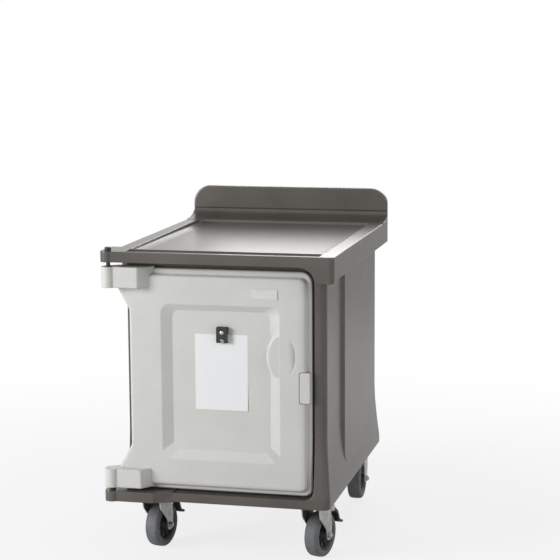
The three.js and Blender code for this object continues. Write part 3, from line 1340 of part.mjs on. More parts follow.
/** Rivet that the fork turns on. */
function kingpin() {
  const head = CROWN_FOOT - SEAT;
  const profile = [
    [0, head - KINGPIN_HEAD_HEIGHT], [KINGPIN_HEAD * 0.7, head - KINGPIN_HEAD_HEIGHT],
    [KINGPIN_HEAD, head - KINGPIN_HEAD_HEIGHT * 0.5], [KINGPIN_HEAD, head],
    [KINGPIN_RADIUS, head], [KINGPIN_RADIUS, PLATE_TOP - KINGPIN_SHY], [0, PLATE_TOP - KINGPIN_SHY],
  ].map(([radius, z]) => new THREE.Vector2(radius, z));
  return new THREE.LatheGeometry(profile, 20).rotateX(Math.PI / 2);
}

/** Fixed bracket of a rear caster. */
function rigidBracket() {
  const shoulder = PLATE_FOOT - BRACKET_SHOULDER;
  const side = outline([
    [-BRACKET_HALF, PLATE_FOOT + 2], [BRACKET_HALF, PLATE_FOOT + 2], [BRACKET_HALF, shoulder, 14],
    [AXLE_BOSS + 1, WHEEL_RADIUS - AXLE_BOSS, AXLE_BOSS - 2],
    [-AXLE_BOSS - 1, WHEEL_RADIUS - AXLE_BOSS, AXLE_BOSS - 2], [-BRACKET_HALF, shoulder, 14],
  ]);
  return cut(
    join(topPlate(), ...legs(side)),
    ...studHoles(PLATE_FOOT - 5, PLATE_TOP + 5),
    crossbar(-FORK_HALF_WIDTH - 5, FORK_HALF_WIDTH + 5, 0, WHEEL_RADIUS, AXLE_RADIUS + RUN),
  );
}

/** Tyre, about its own middle. */
function tyre() {
  const half = TYRE_WIDTH / 2;
  const right = [
    [half - 5, TYRE_BEAD + SEAT], [half, TYRE_BEAD + 8], [half - 2, WHEEL_RADIUS - 5],
    [half - 9, WHEEL_RADIUS],
  ];
  const left = right.map(([x, radius]) => [-x, radius]).reverse();
  return turnedAboutX([...right, ...left, right[0]], WHEEL_SIDES);
}

/** Core of the wheel: a rim and a hub joined by a web. */
function wheelHub() {
  const hubHalf = FORK_INNER - 0.6;
  const half = TYRE_WIDTH / 2;
  const bore = AXLE_RADIUS + RUN;
  const right = [
    [hubHalf, bore], [hubHalf, HUB_RADIUS - 3], [WEB_HALF, HUB_RADIUS + 3],
    [WEB_HALF, TYRE_BEAD - 10], [half - 8, TYRE_BEAD - 5], [half - 6, TYRE_BEAD],
  ];
  const left = right.map(([x, radius]) => [-x, radius]).reverse();
  return turnedAboutX([...right, ...left, right[0]], WHEEL_SIDES);
}

/** Axle bolt with its hexagon head at the left and its nut at the right. */
function axle() {
  const face = FORK_HALF_WIDTH + SEAT;
  return join(
    crossbar(-face - AXLE_TAIL, face + AXLE_NUT + AXLE_TAIL, 0, 0, AXLE_RADIUS),
    crossbar(-face - AXLE_NUT, -face, 0, 0, AXLE_NUT_RADIUS, 6),
    crossbar(face, face + AXLE_NUT, 0, 0, AXLE_NUT_RADIUS, 6),
  );
}

/** Brake pedal: an arm that follows the tyre's curve down to a flat tread. */
function brakePedal() {
  const fromPivot = [
    [-8, 9, 7], [10, 9, 8], [45, -19, 16], [59, -51, 8], [82, -61, 3], [80, -68, 3],
    [53, -61, 8], [38, -25, 12], [8, -5, 6], [-8, -7, 6],
  ];
  const side = outline(
    fromPivot.map(([y, z, radius]) => [PEDAL_PIVOT_Y + y, PEDAL_PIVOT_Z + z, radius]),
    3,
  );
  const [left, right] = [PEDAL_LEFT, PEDAL_LEFT + PEDAL_WIDTH];
  return cut(
    facingRight(prism(side, left, right)),
    crossbar(left - 5, right + 5, PEDAL_PIVOT_Y, PEDAL_PIVOT_Z, PEDAL_PIN_RADIUS + RUN, 12),
  );
}

function pedalPin() {
  return crossbar(PEDAL_LEFT - 6, FORK_HALF_WIDTH + 1, PEDAL_PIVOT_Y, PEDAL_PIVOT_Z, PEDAL_PIN_RADIUS, 12);
}

/** Tyre, core and axle of one wheel, with the axle's middle at y behind the group's origin. */
function wheel(place, y) {
  const group = new THREE.Group();
  group.add(
    piece(`tyre_${place}`, 'tyreRubber', tyre()),
    piece(`wheel_hub_${place}`, 'wheelCore', wheelHub()),
    piece(`axle_${place}`, 'zinc', axle()),
  );
  group.position.set(0, y, WHEEL_RADIUS);
  return group;
}

/** Parts of a swivel caster that turn with its fork. */
function swivelParts(place, heading) {
  const group = new THREE.Group();
  group.add(
    piece(`swivel_fork_${place}`, 'zinc', swivelFork()),
    piece(`brake_pedal_${place}`, 'blackPlastic', brakePedal()),
    piece(`pedal_pin_${place}`, 'zinc', pedalPin()),
    wheel(place, TRAIL),
  );
  group.rotation.z = -THREE.MathUtils.degToRad(heading);
  return group;
}

/** One caster with its insert: a swivel one where a heading is given, otherwise a rigid one. */
function caster({ place, x, y, heading }) {
  const group = new THREE.Group();
  group.add(piece(`caster_insert_${place}`, 'zinc', casterInsert()));
  if (heading === undefined) {
    group.add(piece(`rigid_bracket_${place}`, 'zinc', rigidBracket()), wheel(place, 0));
  } else {
    group.add(
      piece(`caster_plate_${place}`, 'zinc', swivelPlate()),
      piece(`kingpin_${place}`, 'zinc', kingpin()),
      swivelParts(place, heading),
    );
  }
  group.position.set(x, y, 0);
  return group;
}

// ---------------------------------------------------------------- assembly
const cart = new THREE.Group();
cart.add(
  piece('cabinet_shell', 'darkPlastic', cabinetShell()),
  piece('worktop', 'darkPlastic', worktop()),
  trayRacks(),
  piece('door', 'palePlastic', door()),
  piece('door_gasket', 'gasketRubber', doorGasket()),
  piece('upper_hinge_pin', 'blackSteel', upperHingePin()),
  piece('lower_hinge_pin', 'blackSteel', lowerHingePin()),
  piece('upper_hinge_bush', 'blackPlastic', hingeBush(
    UPPER_ARM_TOP + SEAT, UPPER_ARM_TOP + SEAT + 2, UPPER_ARM_TOP - PIN_ENGAGEMENT,
  )),
  piece('lower_hinge_bush', 'blackPlastic', hingeBush(
    LOWER_ARM_FOOT - SEAT, LOWER_LUG_TOP + SEAT, LOWER_ARM_FOOT + PIN_ENGAGEMENT,
  )),
  piece('door_latch', 'palePlastic', doorLatch()),
  piece('latch_pin', 'steel', latchPin()),
  piece('latch_spring', 'steel', latchSpring()),
  piece('latch_strike', 'steel', latchStrike()),
  piece('name_plate', 'plate', namePlate()),
  piece('menu_card', 'card', menuCard()),
  piece('clip_base', 'blackPlastic', clipBase()),
  piece('clip_lever', 'blackPlastic', clipLever()),
  piece('clip_pin', 'steel', clipPin()),
  piece('clip_rivet', 'steel', clipRivet()),
  ...CASTERS.map(caster),
);

// The origin moves to the middle of the whole cart's footprint, on the floor.
const group = new THREE.Group();
group.add(cart);
group.updateMatrixWorld(true);
const box = new THREE.Box3().setFromObject(cart, true);
const middle = box.getCenter(new THREE.Vector3());
cart.position.set(-middle.x, -middle.y, -box.min.z);

export default group;
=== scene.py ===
"""Looks of an enclosed meal tray cart: finishes, softened edges, small fittings, studio and camera.

Lengths in the dataclasses are millimetres. The cart's own frame is the CAD frame in metres: +X to
the cart's right, +Y from the door to the push panel, +Z up, origin under the middle of the cart.
"""
import json
import logging
import math
from dataclasses import dataclass
from enum import Enum
from typing import Sequence

import bmesh
import bpy
from mathutils import Matrix, Vector


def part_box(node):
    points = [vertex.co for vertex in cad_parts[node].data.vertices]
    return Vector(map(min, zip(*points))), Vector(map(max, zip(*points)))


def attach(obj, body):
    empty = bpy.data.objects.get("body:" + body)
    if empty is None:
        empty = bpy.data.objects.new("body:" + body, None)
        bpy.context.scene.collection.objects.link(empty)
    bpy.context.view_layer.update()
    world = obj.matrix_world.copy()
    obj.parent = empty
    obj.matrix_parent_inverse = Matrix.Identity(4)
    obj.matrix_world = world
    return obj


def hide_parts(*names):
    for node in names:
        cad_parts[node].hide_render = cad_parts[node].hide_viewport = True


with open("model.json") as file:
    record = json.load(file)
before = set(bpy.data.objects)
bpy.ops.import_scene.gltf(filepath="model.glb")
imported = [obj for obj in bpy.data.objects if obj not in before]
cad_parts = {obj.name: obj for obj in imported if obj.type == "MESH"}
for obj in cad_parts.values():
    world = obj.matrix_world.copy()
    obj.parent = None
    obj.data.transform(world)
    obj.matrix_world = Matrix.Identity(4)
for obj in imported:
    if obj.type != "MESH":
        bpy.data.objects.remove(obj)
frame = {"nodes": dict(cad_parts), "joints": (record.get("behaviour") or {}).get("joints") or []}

LOG = logging.getLogger("tray_cart")
MM = 0.001
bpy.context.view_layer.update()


# ---------------------------------------------------------------- helpers
def linear(hex_colour: str) -> tuple[float, float, float, float]:
    """Turns an sRGB hex colour into a linear colour with full alpha.

    Args:
        hex_colour: six hexadecimal digits, with or without a leading hash.

    Returns:
        Red, green, blue and alpha from 0 to 1.
    """
    digits = hex_colour.lstrip("#")
    channels = [int(digits[i:i + 2], 16) / 255 for i in (0, 2, 4)]
    red, green, blue = (c / 12.92 if c <= 0.04045 else ((c + 0.055) / 1.055) ** 2.4 for c in channels)
    return red, green, blue, 1.0


def per_metre(size_mm: float) -> float:
    """Pattern scale at which one feature of a texture measures size_mm."""
    return 1.0 / (size_mm * MM)


def add_node(
    tree: bpy.types.NodeTree,
    kind: str,
    settings: dict[str | int, object] | None = None,
    links: dict[str | int, bpy.types.NodeSocket] | None = None,
) -> bpy.types.Node:
    """Adds one shader node with its settings and links.

    Args:
        tree: the node tree that gets the node.
        kind: the node's type name.
        settings: properties by name, and input values by socket name or number.
        links: output sockets that feed this node, by input name or number.

    Returns:
        The new node.
    """
    node = tree.nodes.new(kind)
    for key, value in (settings or {}).items():
        if isinstance(key, str) and key in node.bl_rna.properties:
            setattr(node, key, value)
        else:
            node.inputs[key].default_value = value
    for key, source in (links or {}).items():
        tree.links.new(source, node.inputs[key])
    return node


def new_material(name: str) -> tuple[bpy.types.Material, bpy.types.NodeTree]:
    """Makes an empty node material.

    Args:
        name: the material's name.

    Returns:
        The material and its node tree.
    """
    material = bpy.data.materials.new(name)
    material.use_nodes = True
    material.node_tree.nodes.clear()
    return material, material.node_tree


def finish_tree(
    tree: bpy.types.NodeTree,
    settings: dict[str | int, object],
    links: dict[str | int, bpy.types.NodeSocket],
) -> None:
    """Closes a material's tree with its surface shader and output.

    Args:
        tree: the material's node tree.
        settings: constant values of the surface shader.
        links: what feeds the surface shader.
    """
    shader = add_node(tree, "ShaderNodeBsdfPrincipled", settings, links)
    add_node(tree, "ShaderNodeOutputMaterial", links={"Surface": shader.outputs[0]})


# ---------------------------------------------------------------- finishes
@dataclass(frozen=True)
class MouldedPolyethylene:
    """Rotationally moulded polyethylene: waxy skin with a faint orange peel, mottling and pale scuffs."""

    name: str
    body: str
    light: str
    dark: str
    scuff: str
    roughness: float = 0.29
    mottle_mm: float = 160
    grain_mm: float = 2.4
    peel_mm: float = 6
    peel_height_mm: float = 0.03
    scuff_mm: float = 26
    scuff_share: float = 0.05
    edge_mm: float = 4.5

    def build(self) -> bpy.types.Material:
        """Builds the material.

        Returns:
            The material.
        """
        material, tree = new_material(self.name)
        place = add_node(tree, "ShaderNodeTexCoord").outputs["Object"]
        # Slow mottling from the uneven thickness of the moulded skin.
        mottle = add_node(
            tree, "ShaderNodeTexNoise",
            {"Scale": per_metre(self.mottle_mm), "Detail": 4.0, "Roughness": 0.55}, {"Vector": place},
        )
        tint = add_node(tree, "ShaderNodeValToRGB", links={"Fac": mottle.outputs["Fac"]})
        tint.color_ramp.elements[0].position = 0.1
        tint.color_ramp.elements[0].color = linear(self.dark)
        tint.color_ramp.elements[1].position = 0.9
        tint.color_ramp.elements[1].color = linear(self.light)
        middle = tint.color_ramp.elements.new(0.5)
        middle.color = linear(self.body)
        # Grain left by the powder; drawn a little coarser than real so that it shows.
        grain = add_node(
            tree, "ShaderNodeTexNoise",
            {"Scale": per_metre(self.grain_mm), "Detail": 2.0, "Roughness": 0.6}, {"Vector": place},
        )
        grained = add_node(
            tree, "ShaderNodeMix", {"data_type": "RGBA", "blend_type": "OVERLAY", 0: 0.16},
            {6: tint.outputs["Color"], 7: grain.outputs["Fac"]},
        )
        # Long pale rubs, as carts get from doorways and other carts.
        stretched = add_node(tree, "ShaderNodeMapping", {"Scale": (1.0, 1.0, 6.0)}, {"Vector": place})
        rub = add_node(
            tree, "ShaderNodeTexNoise",
            {"Scale": per_metre(self.scuff_mm), "Detail": 6.0, "Roughness": 0.75},
            {"Vector": stretched.outputs[0]},
        )
        rub_mask = add_node(
            tree, "ShaderNodeMapRange",
            {"From Min": 0.60, "From Max": 0.74, "To Max": self.scuff_share}, {"Value": rub.outputs["Fac"]},
        )
        colour = add_node(
            tree, "ShaderNodeMix", {"data_type": "RGBA", 7: linear(self.scuff)},
            {0: rub_mask.outputs[0], 6: grained.outputs[2]},
        )
        peel = add_node(
            tree, "ShaderNodeTexNoise",
            {"Scale": per_metre(self.peel_mm), "Detail": 2.0, "Roughness": 0.5}, {"Vector": place},
        )
        # A rotationally moulded edge is never tighter than a few millimetres, so it always glints.
        edge = add_node(tree, "ShaderNodeBevel", {"samples": 6, "Radius": self.edge_mm * MM})
        wave = add_node(
            tree, "ShaderNodeBump", {"Strength": 0.5, "Distance": self.peel_height_mm * MM},
            {"Height": peel.outputs["Fac"], "Normal": edge.outputs[0]},
        )
        skin = add_node(
            tree, "ShaderNodeBump", {"Strength": 0.3, "Distance": 0.02 * MM},
            {"Height": grain.outputs["Fac"], "Normal": wave.outputs[0]},
        )
        sheen = add_node(
            tree, "ShaderNodeMapRange",
            {
                "From Min": 0.1, "From Max": 0.9,
                "To Min": self.roughness - 0.03, "To Max": self.roughness + 0.03,
            },
            {"Value": peel.outputs["Fac"]},
        )
        finish_tree(
            tree, {"IOR": 1.51},
            {"Base Color": colour.outputs[2], "Roughness": sheen.outputs[0], "Normal": skin.outputs[0]},
        )
        return material


@dataclass(frozen=True)
class SpecklePolyethylene:
    """Granite-look moulded polyethylene: a pale body full of small darker and lighter specks."""

    name: str
    body: str
    speck: str
    fleck: str
    roughness: float = 0.44
    speck_mm: float = 3.2
    fleck_mm: float = 2.2
    mottle_mm: float = 120
    peel_mm: float = 4
    edge_mm: float = 5.5

    def build(self) -> bpy.types.Material:
        """Builds the material.

        Returns:
            The material.
        """
        material, tree = new_material(self.name)
        place = add_node(tree, "ShaderNodeTexCoord").outputs["Object"]
        # Dark specks, about half a millimetre in reality and drawn coarser so that they show.
        specks = add_node(
            tree, "ShaderNodeTexVoronoi", {"Scale": per_metre(self.speck_mm), "Randomness": 1.0},
            {"Vector": place},
        )
        speck_mask = add_node(
            tree, "ShaderNodeMapRange",
            {"From Min": 0.34, "From Max": 0.16, "To Max": 0.28}, {"Value": specks.outputs["Distance"]},
        )
        dark = add_node(
            tree, "ShaderNodeMix",
            {"data_type": "RGBA", 6: linear(self.body), 7: linear(self.speck)}, {0: speck_mask.outputs[0]},
        )
        flecks = add_node(
            tree, "ShaderNodeTexNoise",
            {"Scale": per_metre(self.fleck_mm), "Detail": 1.0, "Roughness": 0.5}, {"Vector": place},
        )
        fleck_mask = add_node(
            tree, "ShaderNodeMapRange",
            {"From Min": 0.56, "From Max": 0.68, "To Max": 0.3}, {"Value": flecks.outputs["Fac"]},
        )
        flecked = add_node(
            tree, "ShaderNodeMix", {"data_type": "RGBA", 7: linear(self.fleck)},
            {0: fleck_mask.outputs[0], 6: dark.outputs[2]},
        )
        mottle = add_node(
            tree, "ShaderNodeTexNoise",
            {"Scale": per_metre(self.mottle_mm), "Detail": 3.0, "Roughness": 0.5}, {"Vector": place},
        )
        colour = add_node(
            tree, "ShaderNodeMix", {"data_type": "RGBA", "blend_type": "OVERLAY", 0: 0.10},
            {6: flecked.outputs[2], 7: mottle.outputs["Fac"]},
        )
        peel = add_node(
            tree, "ShaderNodeTexNoise",
            {"Scale": per_metre(self.peel_mm), "Detail": 2.0, "Roughness": 0.5}, {"Vector": place},
        )
        edge = add_node(tree, "ShaderNodeBevel", {"samples": 6, "Radius": self.edge_mm * MM})
        skin = add_node(
            tree, "ShaderNodeBump", {"Strength": 0.4, "Distance": 0.05 * MM},
            {"Height": peel.outputs["Fac"], "Normal": edge.outputs[0]},
        )
        sheen = add_node(
            tree, "ShaderNodeMapRange",
            {
                "From Min": 0.3, "From Max": 0.7,
                "To Min": self.roughness - 0.04, "To Max": self.roughness + 0.06,
            },
            {"Value": mottle.outputs["Fac"]},
        )
        finish_tree(
            tree, {"IOR": 1.51},
            {"Base Color": colour.outputs[2], "Roughness": sheen.outputs[0], "Normal": skin.outputs[0]},
        )
        return material


@dataclass(frozen=True)
class MouldedFitting:
    """Injection-moulded nylon or acetal fitting: even colour, spark-eroded texture, rubbed patches."""

    name: str
    body: str
    rubbed: str
    roughness: float = 0.45
    texture_mm: float = 0.9
    patch_mm: float = 14
    ior: float = 1.53

    def build(self) -> bpy.types.Material:
        """Builds the material.

        Returns:
            The material.
        """
        material, tree = new_material(self.name)
        place = add_node(tree, "ShaderNodeTexCoord").outputs["Object"]
        patch = add_node(
            tree, "ShaderNodeTexNoise",
            {"Scale": per_metre(self.patch_mm), "Detail": 5.0, "Roughness": 0.6}, {"Vector": place},
        )
        mask = add_node(
            tree, "ShaderNodeMapRange", {"From Min": 0.42, "From Max": 0.72, "To Max": 0.7},
            {"Value": patch.outputs["Fac"]},
        )
        colour = add_node(
            tree, "ShaderNodeMix", {"data_type": "RGBA", 6: linear(self.body), 7: linear(self.rubbed)},
            {0: mask.outputs[0]},
        )
        sheen = add_node(
            tree, "ShaderNodeMapRange",
            {"To Min": self.roughness + 0.08, "To Max": self.roughness - 0.10}, {"Value": mask.outputs[0]},
        )
        texture = add_node(
            tree, "ShaderNodeTexNoise", {"Scale": per_metre(self.texture_mm), "Detail": 2.0}, {"Vector": place},
        )
        skin = add_node(
            tree, "ShaderNodeBump", {"Strength": 0.3, "Distance": 0.03 * MM},
            {"Height": texture.outputs["Fac"]},
        )
        finish_tree(
            tree, {"IOR": self.ior},
            {"Base Color": colour.outputs[2], "Roughness": sheen.outputs[0], "Normal": skin.outputs[0]},
        )
        return material


@dataclass(frozen=True)
class VulcanisedRubber:
    """Vulcanised rubber: matt, with pale floor dust caught in its fine grain."""

    name: str
    body: str
    dust: str
    roughness: float = 0.72
    grain_mm: float = 1.2
    dust_mm: float = 22
    dust_share: float = 0.5

    def build(self) -> bpy.types.Material:
        """Builds the material.

        Returns:
            The material.
        """
        material, tree = new_material(self.name)
        place = add_node(tree, "ShaderNodeTexCoord").outputs["Object"]
        cloud = add_node(
            tree, "ShaderNodeTexNoise",
            {"Scale": per_metre(self.dust_mm), "Detail": 6.0, "Roughness": 0.65}, {"Vector": place},
        )
        mask = add_node(
            tree, "ShaderNodeMapRange", {"From Min": 0.4, "From Max": 0.75, "To Max": self.dust_share},
            {"Value": cloud.outputs["Fac"]},
        )
        colour = add_node(
            tree, "ShaderNodeMix", {"data_type": "RGBA", 6: linear(self.body), 7: linear(self.dust)},
            {0: mask.outputs[0]},
        )
        grain = add_node(
            tree, "ShaderNodeTexNoise", {"Scale": per_metre(self.grain_mm), "Detail": 3.0}, {"Vector": place},
        )
        skin = add_node(
            tree, "ShaderNodeBump", {"Strength": 0.4, "Distance": 0.06 * MM}, {"Height": grain.outputs["Fac"]},
        )
        sheen = add_node(
            tree, "ShaderNodeMapRange",
            {"To Min": self.roughness - 0.08, "To Max": self.roughness + 0.14}, {"Value": mask.outputs[0]},
        )
        finish_tree(
            tree, {"IOR": 1.52},
            {"Base Color": colour.outputs[2], "Roughness": sheen.outputs[0], "Normal": skin.outputs[0]},
        )
        return material


class Grain(Enum):
    """Direction in which a metal's surface was worked."""

    PRESSED = (1.0, 1.0, 1.0)
    DRAWN_Z = (1.0, 1.0, 0.02)


@dataclass(frozen=True)
class WorkedSteel:
    """Steel sheet or bar, plated or bare: tinted patches, fine scratches and a duller film of dust."""

    name: str
    bright: str
    dull: str
    roughness: float = 0.34
    grain: Grain = Grain.PRESSED
    scratch_mm: float = 1.1
    patch_mm: float = 18
    metallic: float = 1.0

    def build(self) -> bpy.types.Material:
        """Builds the material.

        Returns:
            The material.
        """
        material, tree = new_material(self.name)
        place = add_node(tree, "ShaderNodeTexCoord").outputs["Object"]
        patch = add_node(
            tree, "ShaderNodeTexNoise",
            {"Scale": per_metre(self.patch_mm), "Detail": 5.0, "Roughness": 0.6}, {"Vector": place},
        )
        mask = add_node(
            tree, "ShaderNodeMapRange", {"From Min": 0.35, "From Max": 0.68}, {"Value": patch.outputs["Fac"]},
        )
        colour = add_node(
            tree, "ShaderNodeMix", {"data_type": "RGBA", 6: linear(self.bright), 7: linear(self.dull)},
            {0: mask.outputs[0]},
        )
        along = add_node(tree, "ShaderNodeMapping", {"Scale": self.grain.value}, {"Vector": place})
        scratch = add_node(
            tree, "ShaderNodeTexNoise",
            {"Scale": per_metre(self.scratch_mm), "Detail": 4.0, "Roughness": 0.7},
            {"Vector": along.outputs[0]},
        )
        sheen = add_node(
            tree, "ShaderNodeMapRange",
            {
                "From Min": 0.3, "From Max": 0.7,
                "To Min": self.roughness - 0.08, "To Max": self.roughness + 0.14,
            },
            {"Value": scratch.outputs["Fac"]},
        )
        skin = add_node(
            tree, "ShaderNodeBump", {"Strength": 0.25, "Distance": 0.02 * MM},
            {"Height": scratch.outputs["Fac"]},
        )
        finish_tree(
            tree, {"Metallic": self.metallic},
            {"Base Color": colour.outputs[2], "Roughness": sheen.outputs[0], "Normal": skin.outputs[0]},
        )
        return material


@dataclass(frozen=True)
class CardStock:
    """Uncoated white card: matt, with a faint cloudy fibre pattern."""

    name: str
    body: str
    fibre: str
    fibre_mm: float = 3.5

    def build(self) -> bpy.types.Material:
        """Builds the material.

        Returns:
            The material.
        """
        material, tree = new_material(self.name)
        place = add_node(tree, "ShaderNodeTexCoord").outputs["Object"]
        cloud = add_node(
            tree, "ShaderNodeTexNoise",
            {"Scale": per_metre(self.fibre_mm), "Detail": 6.0, "Roughness": 0.7}, {"Vector": place},
        )
        colour = add_node(
            tree, "ShaderNodeMix", {"data_type": "RGBA", 6: linear(self.body), 7: linear(self.fibre)},
            {0: cloud.outputs["Fac"]},
        )
        skin = add_node(
            tree, "ShaderNodeBump", {"Strength": 0.3, "Distance": 0.02 * MM}, {"Height": cloud.outputs["Fac"]},
        )
        finish_tree(
            tree, {"Roughness": 0.88, "IOR": 1.47},
            {"Base Color": colour.outputs[2], "Normal": skin.outputs[0]},
        )
        return material


class Finish(Enum):
    """Every finish on the cart, by what it is made of."""

    TAUPE = MouldedPolyethylene("taupe_moulded_polyethylene", "5b5651", "67625d", "4e4945", "7d7872")
    SPECKLE = SpecklePolyethylene("pale_speckled_polyethylene", "d0d0cc", "9d9c95", "e3e3df")
    RACK = MouldedFitting("grey_rack_polypropylene", "b4b4ae", "bfbfba", roughness=0.5, patch_mm=60, ior=1.49)
    BLACK = MouldedFitting("black_nylon", "19191a", "2b2b2d")
    SEAL = VulcanisedRubber("black_seal_rubber", "1d1e1e", "3a3a39", dust_share=0.3)
    TYRE = VulcanisedRubber("grey_tyre_rubber", "66686c", "8b8b8a")
    CORE = MouldedFitting("dark_wheel_polyolefin", "34353a", "4a4b50", roughness=0.5)
    ZINC = WorkedSteel("zinc_plated_pressed_steel", "c9cbca", "a5a49c", roughness=0.3)
    STAINLESS = WorkedSteel("stainless_steel", "c6c6c4", "a9a9a6", roughness=0.28, grain=Grain.DRAWN_Z)
    NAME_PLATE = MouldedFitting(
        "blank_plate_acrylic", "dcdddc", "d3d4d3", roughness=0.34, patch_mm=40, ior=1.49,
    )
    BLACK_STEEL = MouldedFitting("black_coated_steel", "151718", "26292b", roughness=0.36)
    CARD = CardStock("white_card", "f4f5f6", "e8e9ea")


class Palette:
    """Builds each finish once and hands it out."""

    def __init__(self) -> None:
        """Starts with no finish built."""
        self._built: dict[Finish, bpy.types.Material] = {}

    def get(self, finish: Finish) -> bpy.types.Material:
        """Hands out a finish's material.

        Args:
            finish: the finish.

        Returns:
            Its material, built the first time it is asked for.
        """
        if finish not in self._built:
            self._built[finish] = finish.value.build()
        return self._built[finish]


PALETTE = Palette()


def paint(piece: bpy.types.Object, finish: Finish) -> None:
    """Gives a whole piece one finish.

    Args:
        piece: the object to paint.
        finish: the finish it gets.
    """
    piece.data.materials.clear()
    piece.data.materials.append(PALETTE.get(finish))


@dataclass(frozen=True)
class EdgeBreak:
    """Rounded edges of a moulded or machined piece."""

    width: float = 2.0
    segments: int = 3
    angle: float = 32.0
    crease: float = 48.0

    def apply(self, piece: bpy.types.Object) -> None:
        """Softens a piece's edges with modifiers, leaving its mesh as it is.

        Args:
            piece: the object whose edges are softened.
        """
        for polygon in piece.data.polygons:
            polygon.use_smooth = True
        if "custom_normal" in piece.data.attributes:
            piece.data.attributes.remove(piece.data.attributes["custom_normal"])
        weld = piece.modifiers.new("weld", "WELD")
        weld.merge_threshold = 0.005 * MM
        flat = piece.modifiers.new("flat", "DECIMATE")
        flat.decimate_type = "DISSOLVE"
        flat.angle_limit = math.radians(0.4)
        bevel = piece.modifiers.new("edge", "BEVEL")
        bevel.width = self.width * MM
        bevel.segments = self.segments
        bevel.limit_method = "ANGLE"
        bevel.angle_limit = math.radians(self.angle)
        bevel.use_clamp_overlap = True
        bevel.harden_normals = False
        split = piece.modifiers.new("split", "EDGE_SPLIT")
        split.split_angle = math.radians(self.crease)
        normals = piece.modifiers.new("normals", "WEIGHTED_NORMAL")
        normals.keep_sharp = True


# ---------------------------------------------------------------- mesh making
def join(
    shape: bmesh.types.BMesh, rows: Sequence[Sequence[bmesh.types.BMVert]], closed: bool = False,
) -> None:
    """Joins rows of equally many points with faces.

    Args:
        shape: the mesh that gets the faces.
        rows: points of each row, in order.
        closed: whether each row is a ring.
    """
    for first, second in zip(rows, rows[1:]):
        for here in range(len(first) if closed else len(first) - 1):
            there = (here + 1) % len(first)
            shape.faces.new((first[here], first[there], second[there], second[here]))


def lathed(profile: Sequence[tuple[float, float]], steps: int, closed: bool = False) -> bmesh.types.BMesh:
    """Turns a profile about the X axis.

    Args:
        profile: points as distance along the axis and radius, in millimetres.
        steps: sides of the turned shape.
        closed: whether the last point joins the first.

    Returns:
        The shape, in metres.
    """
    shape = bmesh.new()
    rings = []
    for along, radius in profile:
        turns = [2 * math.pi * step / steps for step in range(steps if radius > 0 else 1)]
        rings.append([
            shape.verts.new(Vector((along, radius * math.cos(a), radius * math.sin(a))) * MM) for a in turns
        ])
    for first, second in zip(rings, rings[1:] + (rings[:1] if closed else [])):
        for here in range(steps):
            there = (here + 1) % steps
            corners = [
                first[here % len(first)], first[there % len(first)],
                second[there % len(second)], second[here % len(second)],
            ]
            shape.faces.new(list(dict.fromkeys(corners)))
    bmesh.ops.recalc_face_normals(shape, faces=shape.faces)
    return shape


def tube(route: Sequence[Vector], radius: float, sides: int) -> bmesh.types.BMesh:
    """Sweeps a round section along a route and closes both ends.

    Args:
        route: points of the route, in millimetres.
        radius: of the section, in millimetres.
        sides: of the section.

    Returns:
        The shape, in metres.
    """
    shape = bmesh.new()
    side = (route[1] - route[0]).orthogonal().normalized()
    rings = []
    for here, point in enumerate(route):
        ahead = (route[min(here + 1, len(route) - 1)] - route[max(here - 1, 0)]).normalized()
        side = (side - ahead * side.dot(ahead)).normalized()
        other = ahead.cross(side)
        turns = [2 * math.pi * step / sides for step in range(sides)]
        rings.append([
            shape.verts.new((point + (side * math.cos(a) + other * math.sin(a)) * radius) * MM) for a in turns
        ])
    join(shape, rings, closed=True)
    shape.faces.new(rings[0])
    shape.faces.new(rings[-1])
    bmesh.ops.recalc_face_normals(shape, faces=shape.faces)
    return shape


def framed(
    section: Sequence[tuple[float, float]],
    half_width: float,
    half_height: float,
    corner: float,
    steps: int = 8,
) -> bmesh.types.BMesh:
    """Sweeps a section round a rounded rectangle that stands in the XZ plane.

    Args:
        section: closed section as distance outward and distance along Y, in millimetres.
        half_width: from the middle to the path's sides.
        half_height: from the middle to the path's top.
        corner: radius of the path's corners.
        steps: faces round each corner.

    Returns:
        The shape about the origin, in metres.
    """
    shape = bmesh.new()
    rings = []
    for quarter in range(4):
        middle = Vector((
            (half_width - corner) * (1 if quarter in (0, 3) else -1), 0,
            (half_height - corner) * (1 if quarter in (0, 1) else -1),
        ))
        for step in range(steps + 1):
            turn = (quarter + step / steps) * math.pi / 2
            out = Vector((math.cos(turn), 0, math.sin(turn)))
            rings.append([
                shape.verts.new((middle + out * (corner + away) + Vector((0, depth, 0))) * MM)
                for away, depth in section
            ])
    join(shape, rings + rings[:1], closed=True)
    bmesh.ops.recalc_face_normals(shape, faces=shape.faces)
    return shape


def set_down(direction: Vector, place: Vector, up: Vector = Vector((0, 0, 1))) -> Matrix:
    """Placement whose X axis points along a direction.

    Args:
        direction: where the X axis points.
        place: of the origin, in metres.
        up: roughly where the Z axis points.

    Returns:
        The placement.
    """
    along = direction.normalized()
    across = up.cross(along).normalized()
    return Matrix.Translation(place) @ Matrix((along, across, along.cross(across))).transposed().to_4x4()


@dataclass(frozen=True)
class EdgeShade:
    """Keeps the edges of a fine mesh crisp without adding faces."""

    crease: float = 35.0

    def apply(self, piece: bpy.types.Object) -> None:
        """Splits the shading at a piece's sharp edges.

        Args:
            piece: the object whose edges stay crisp.
        """
        split = piece.modifiers.new("split", "EDGE_SPLIT")
        split.split_angle = math.radians(self.crease)


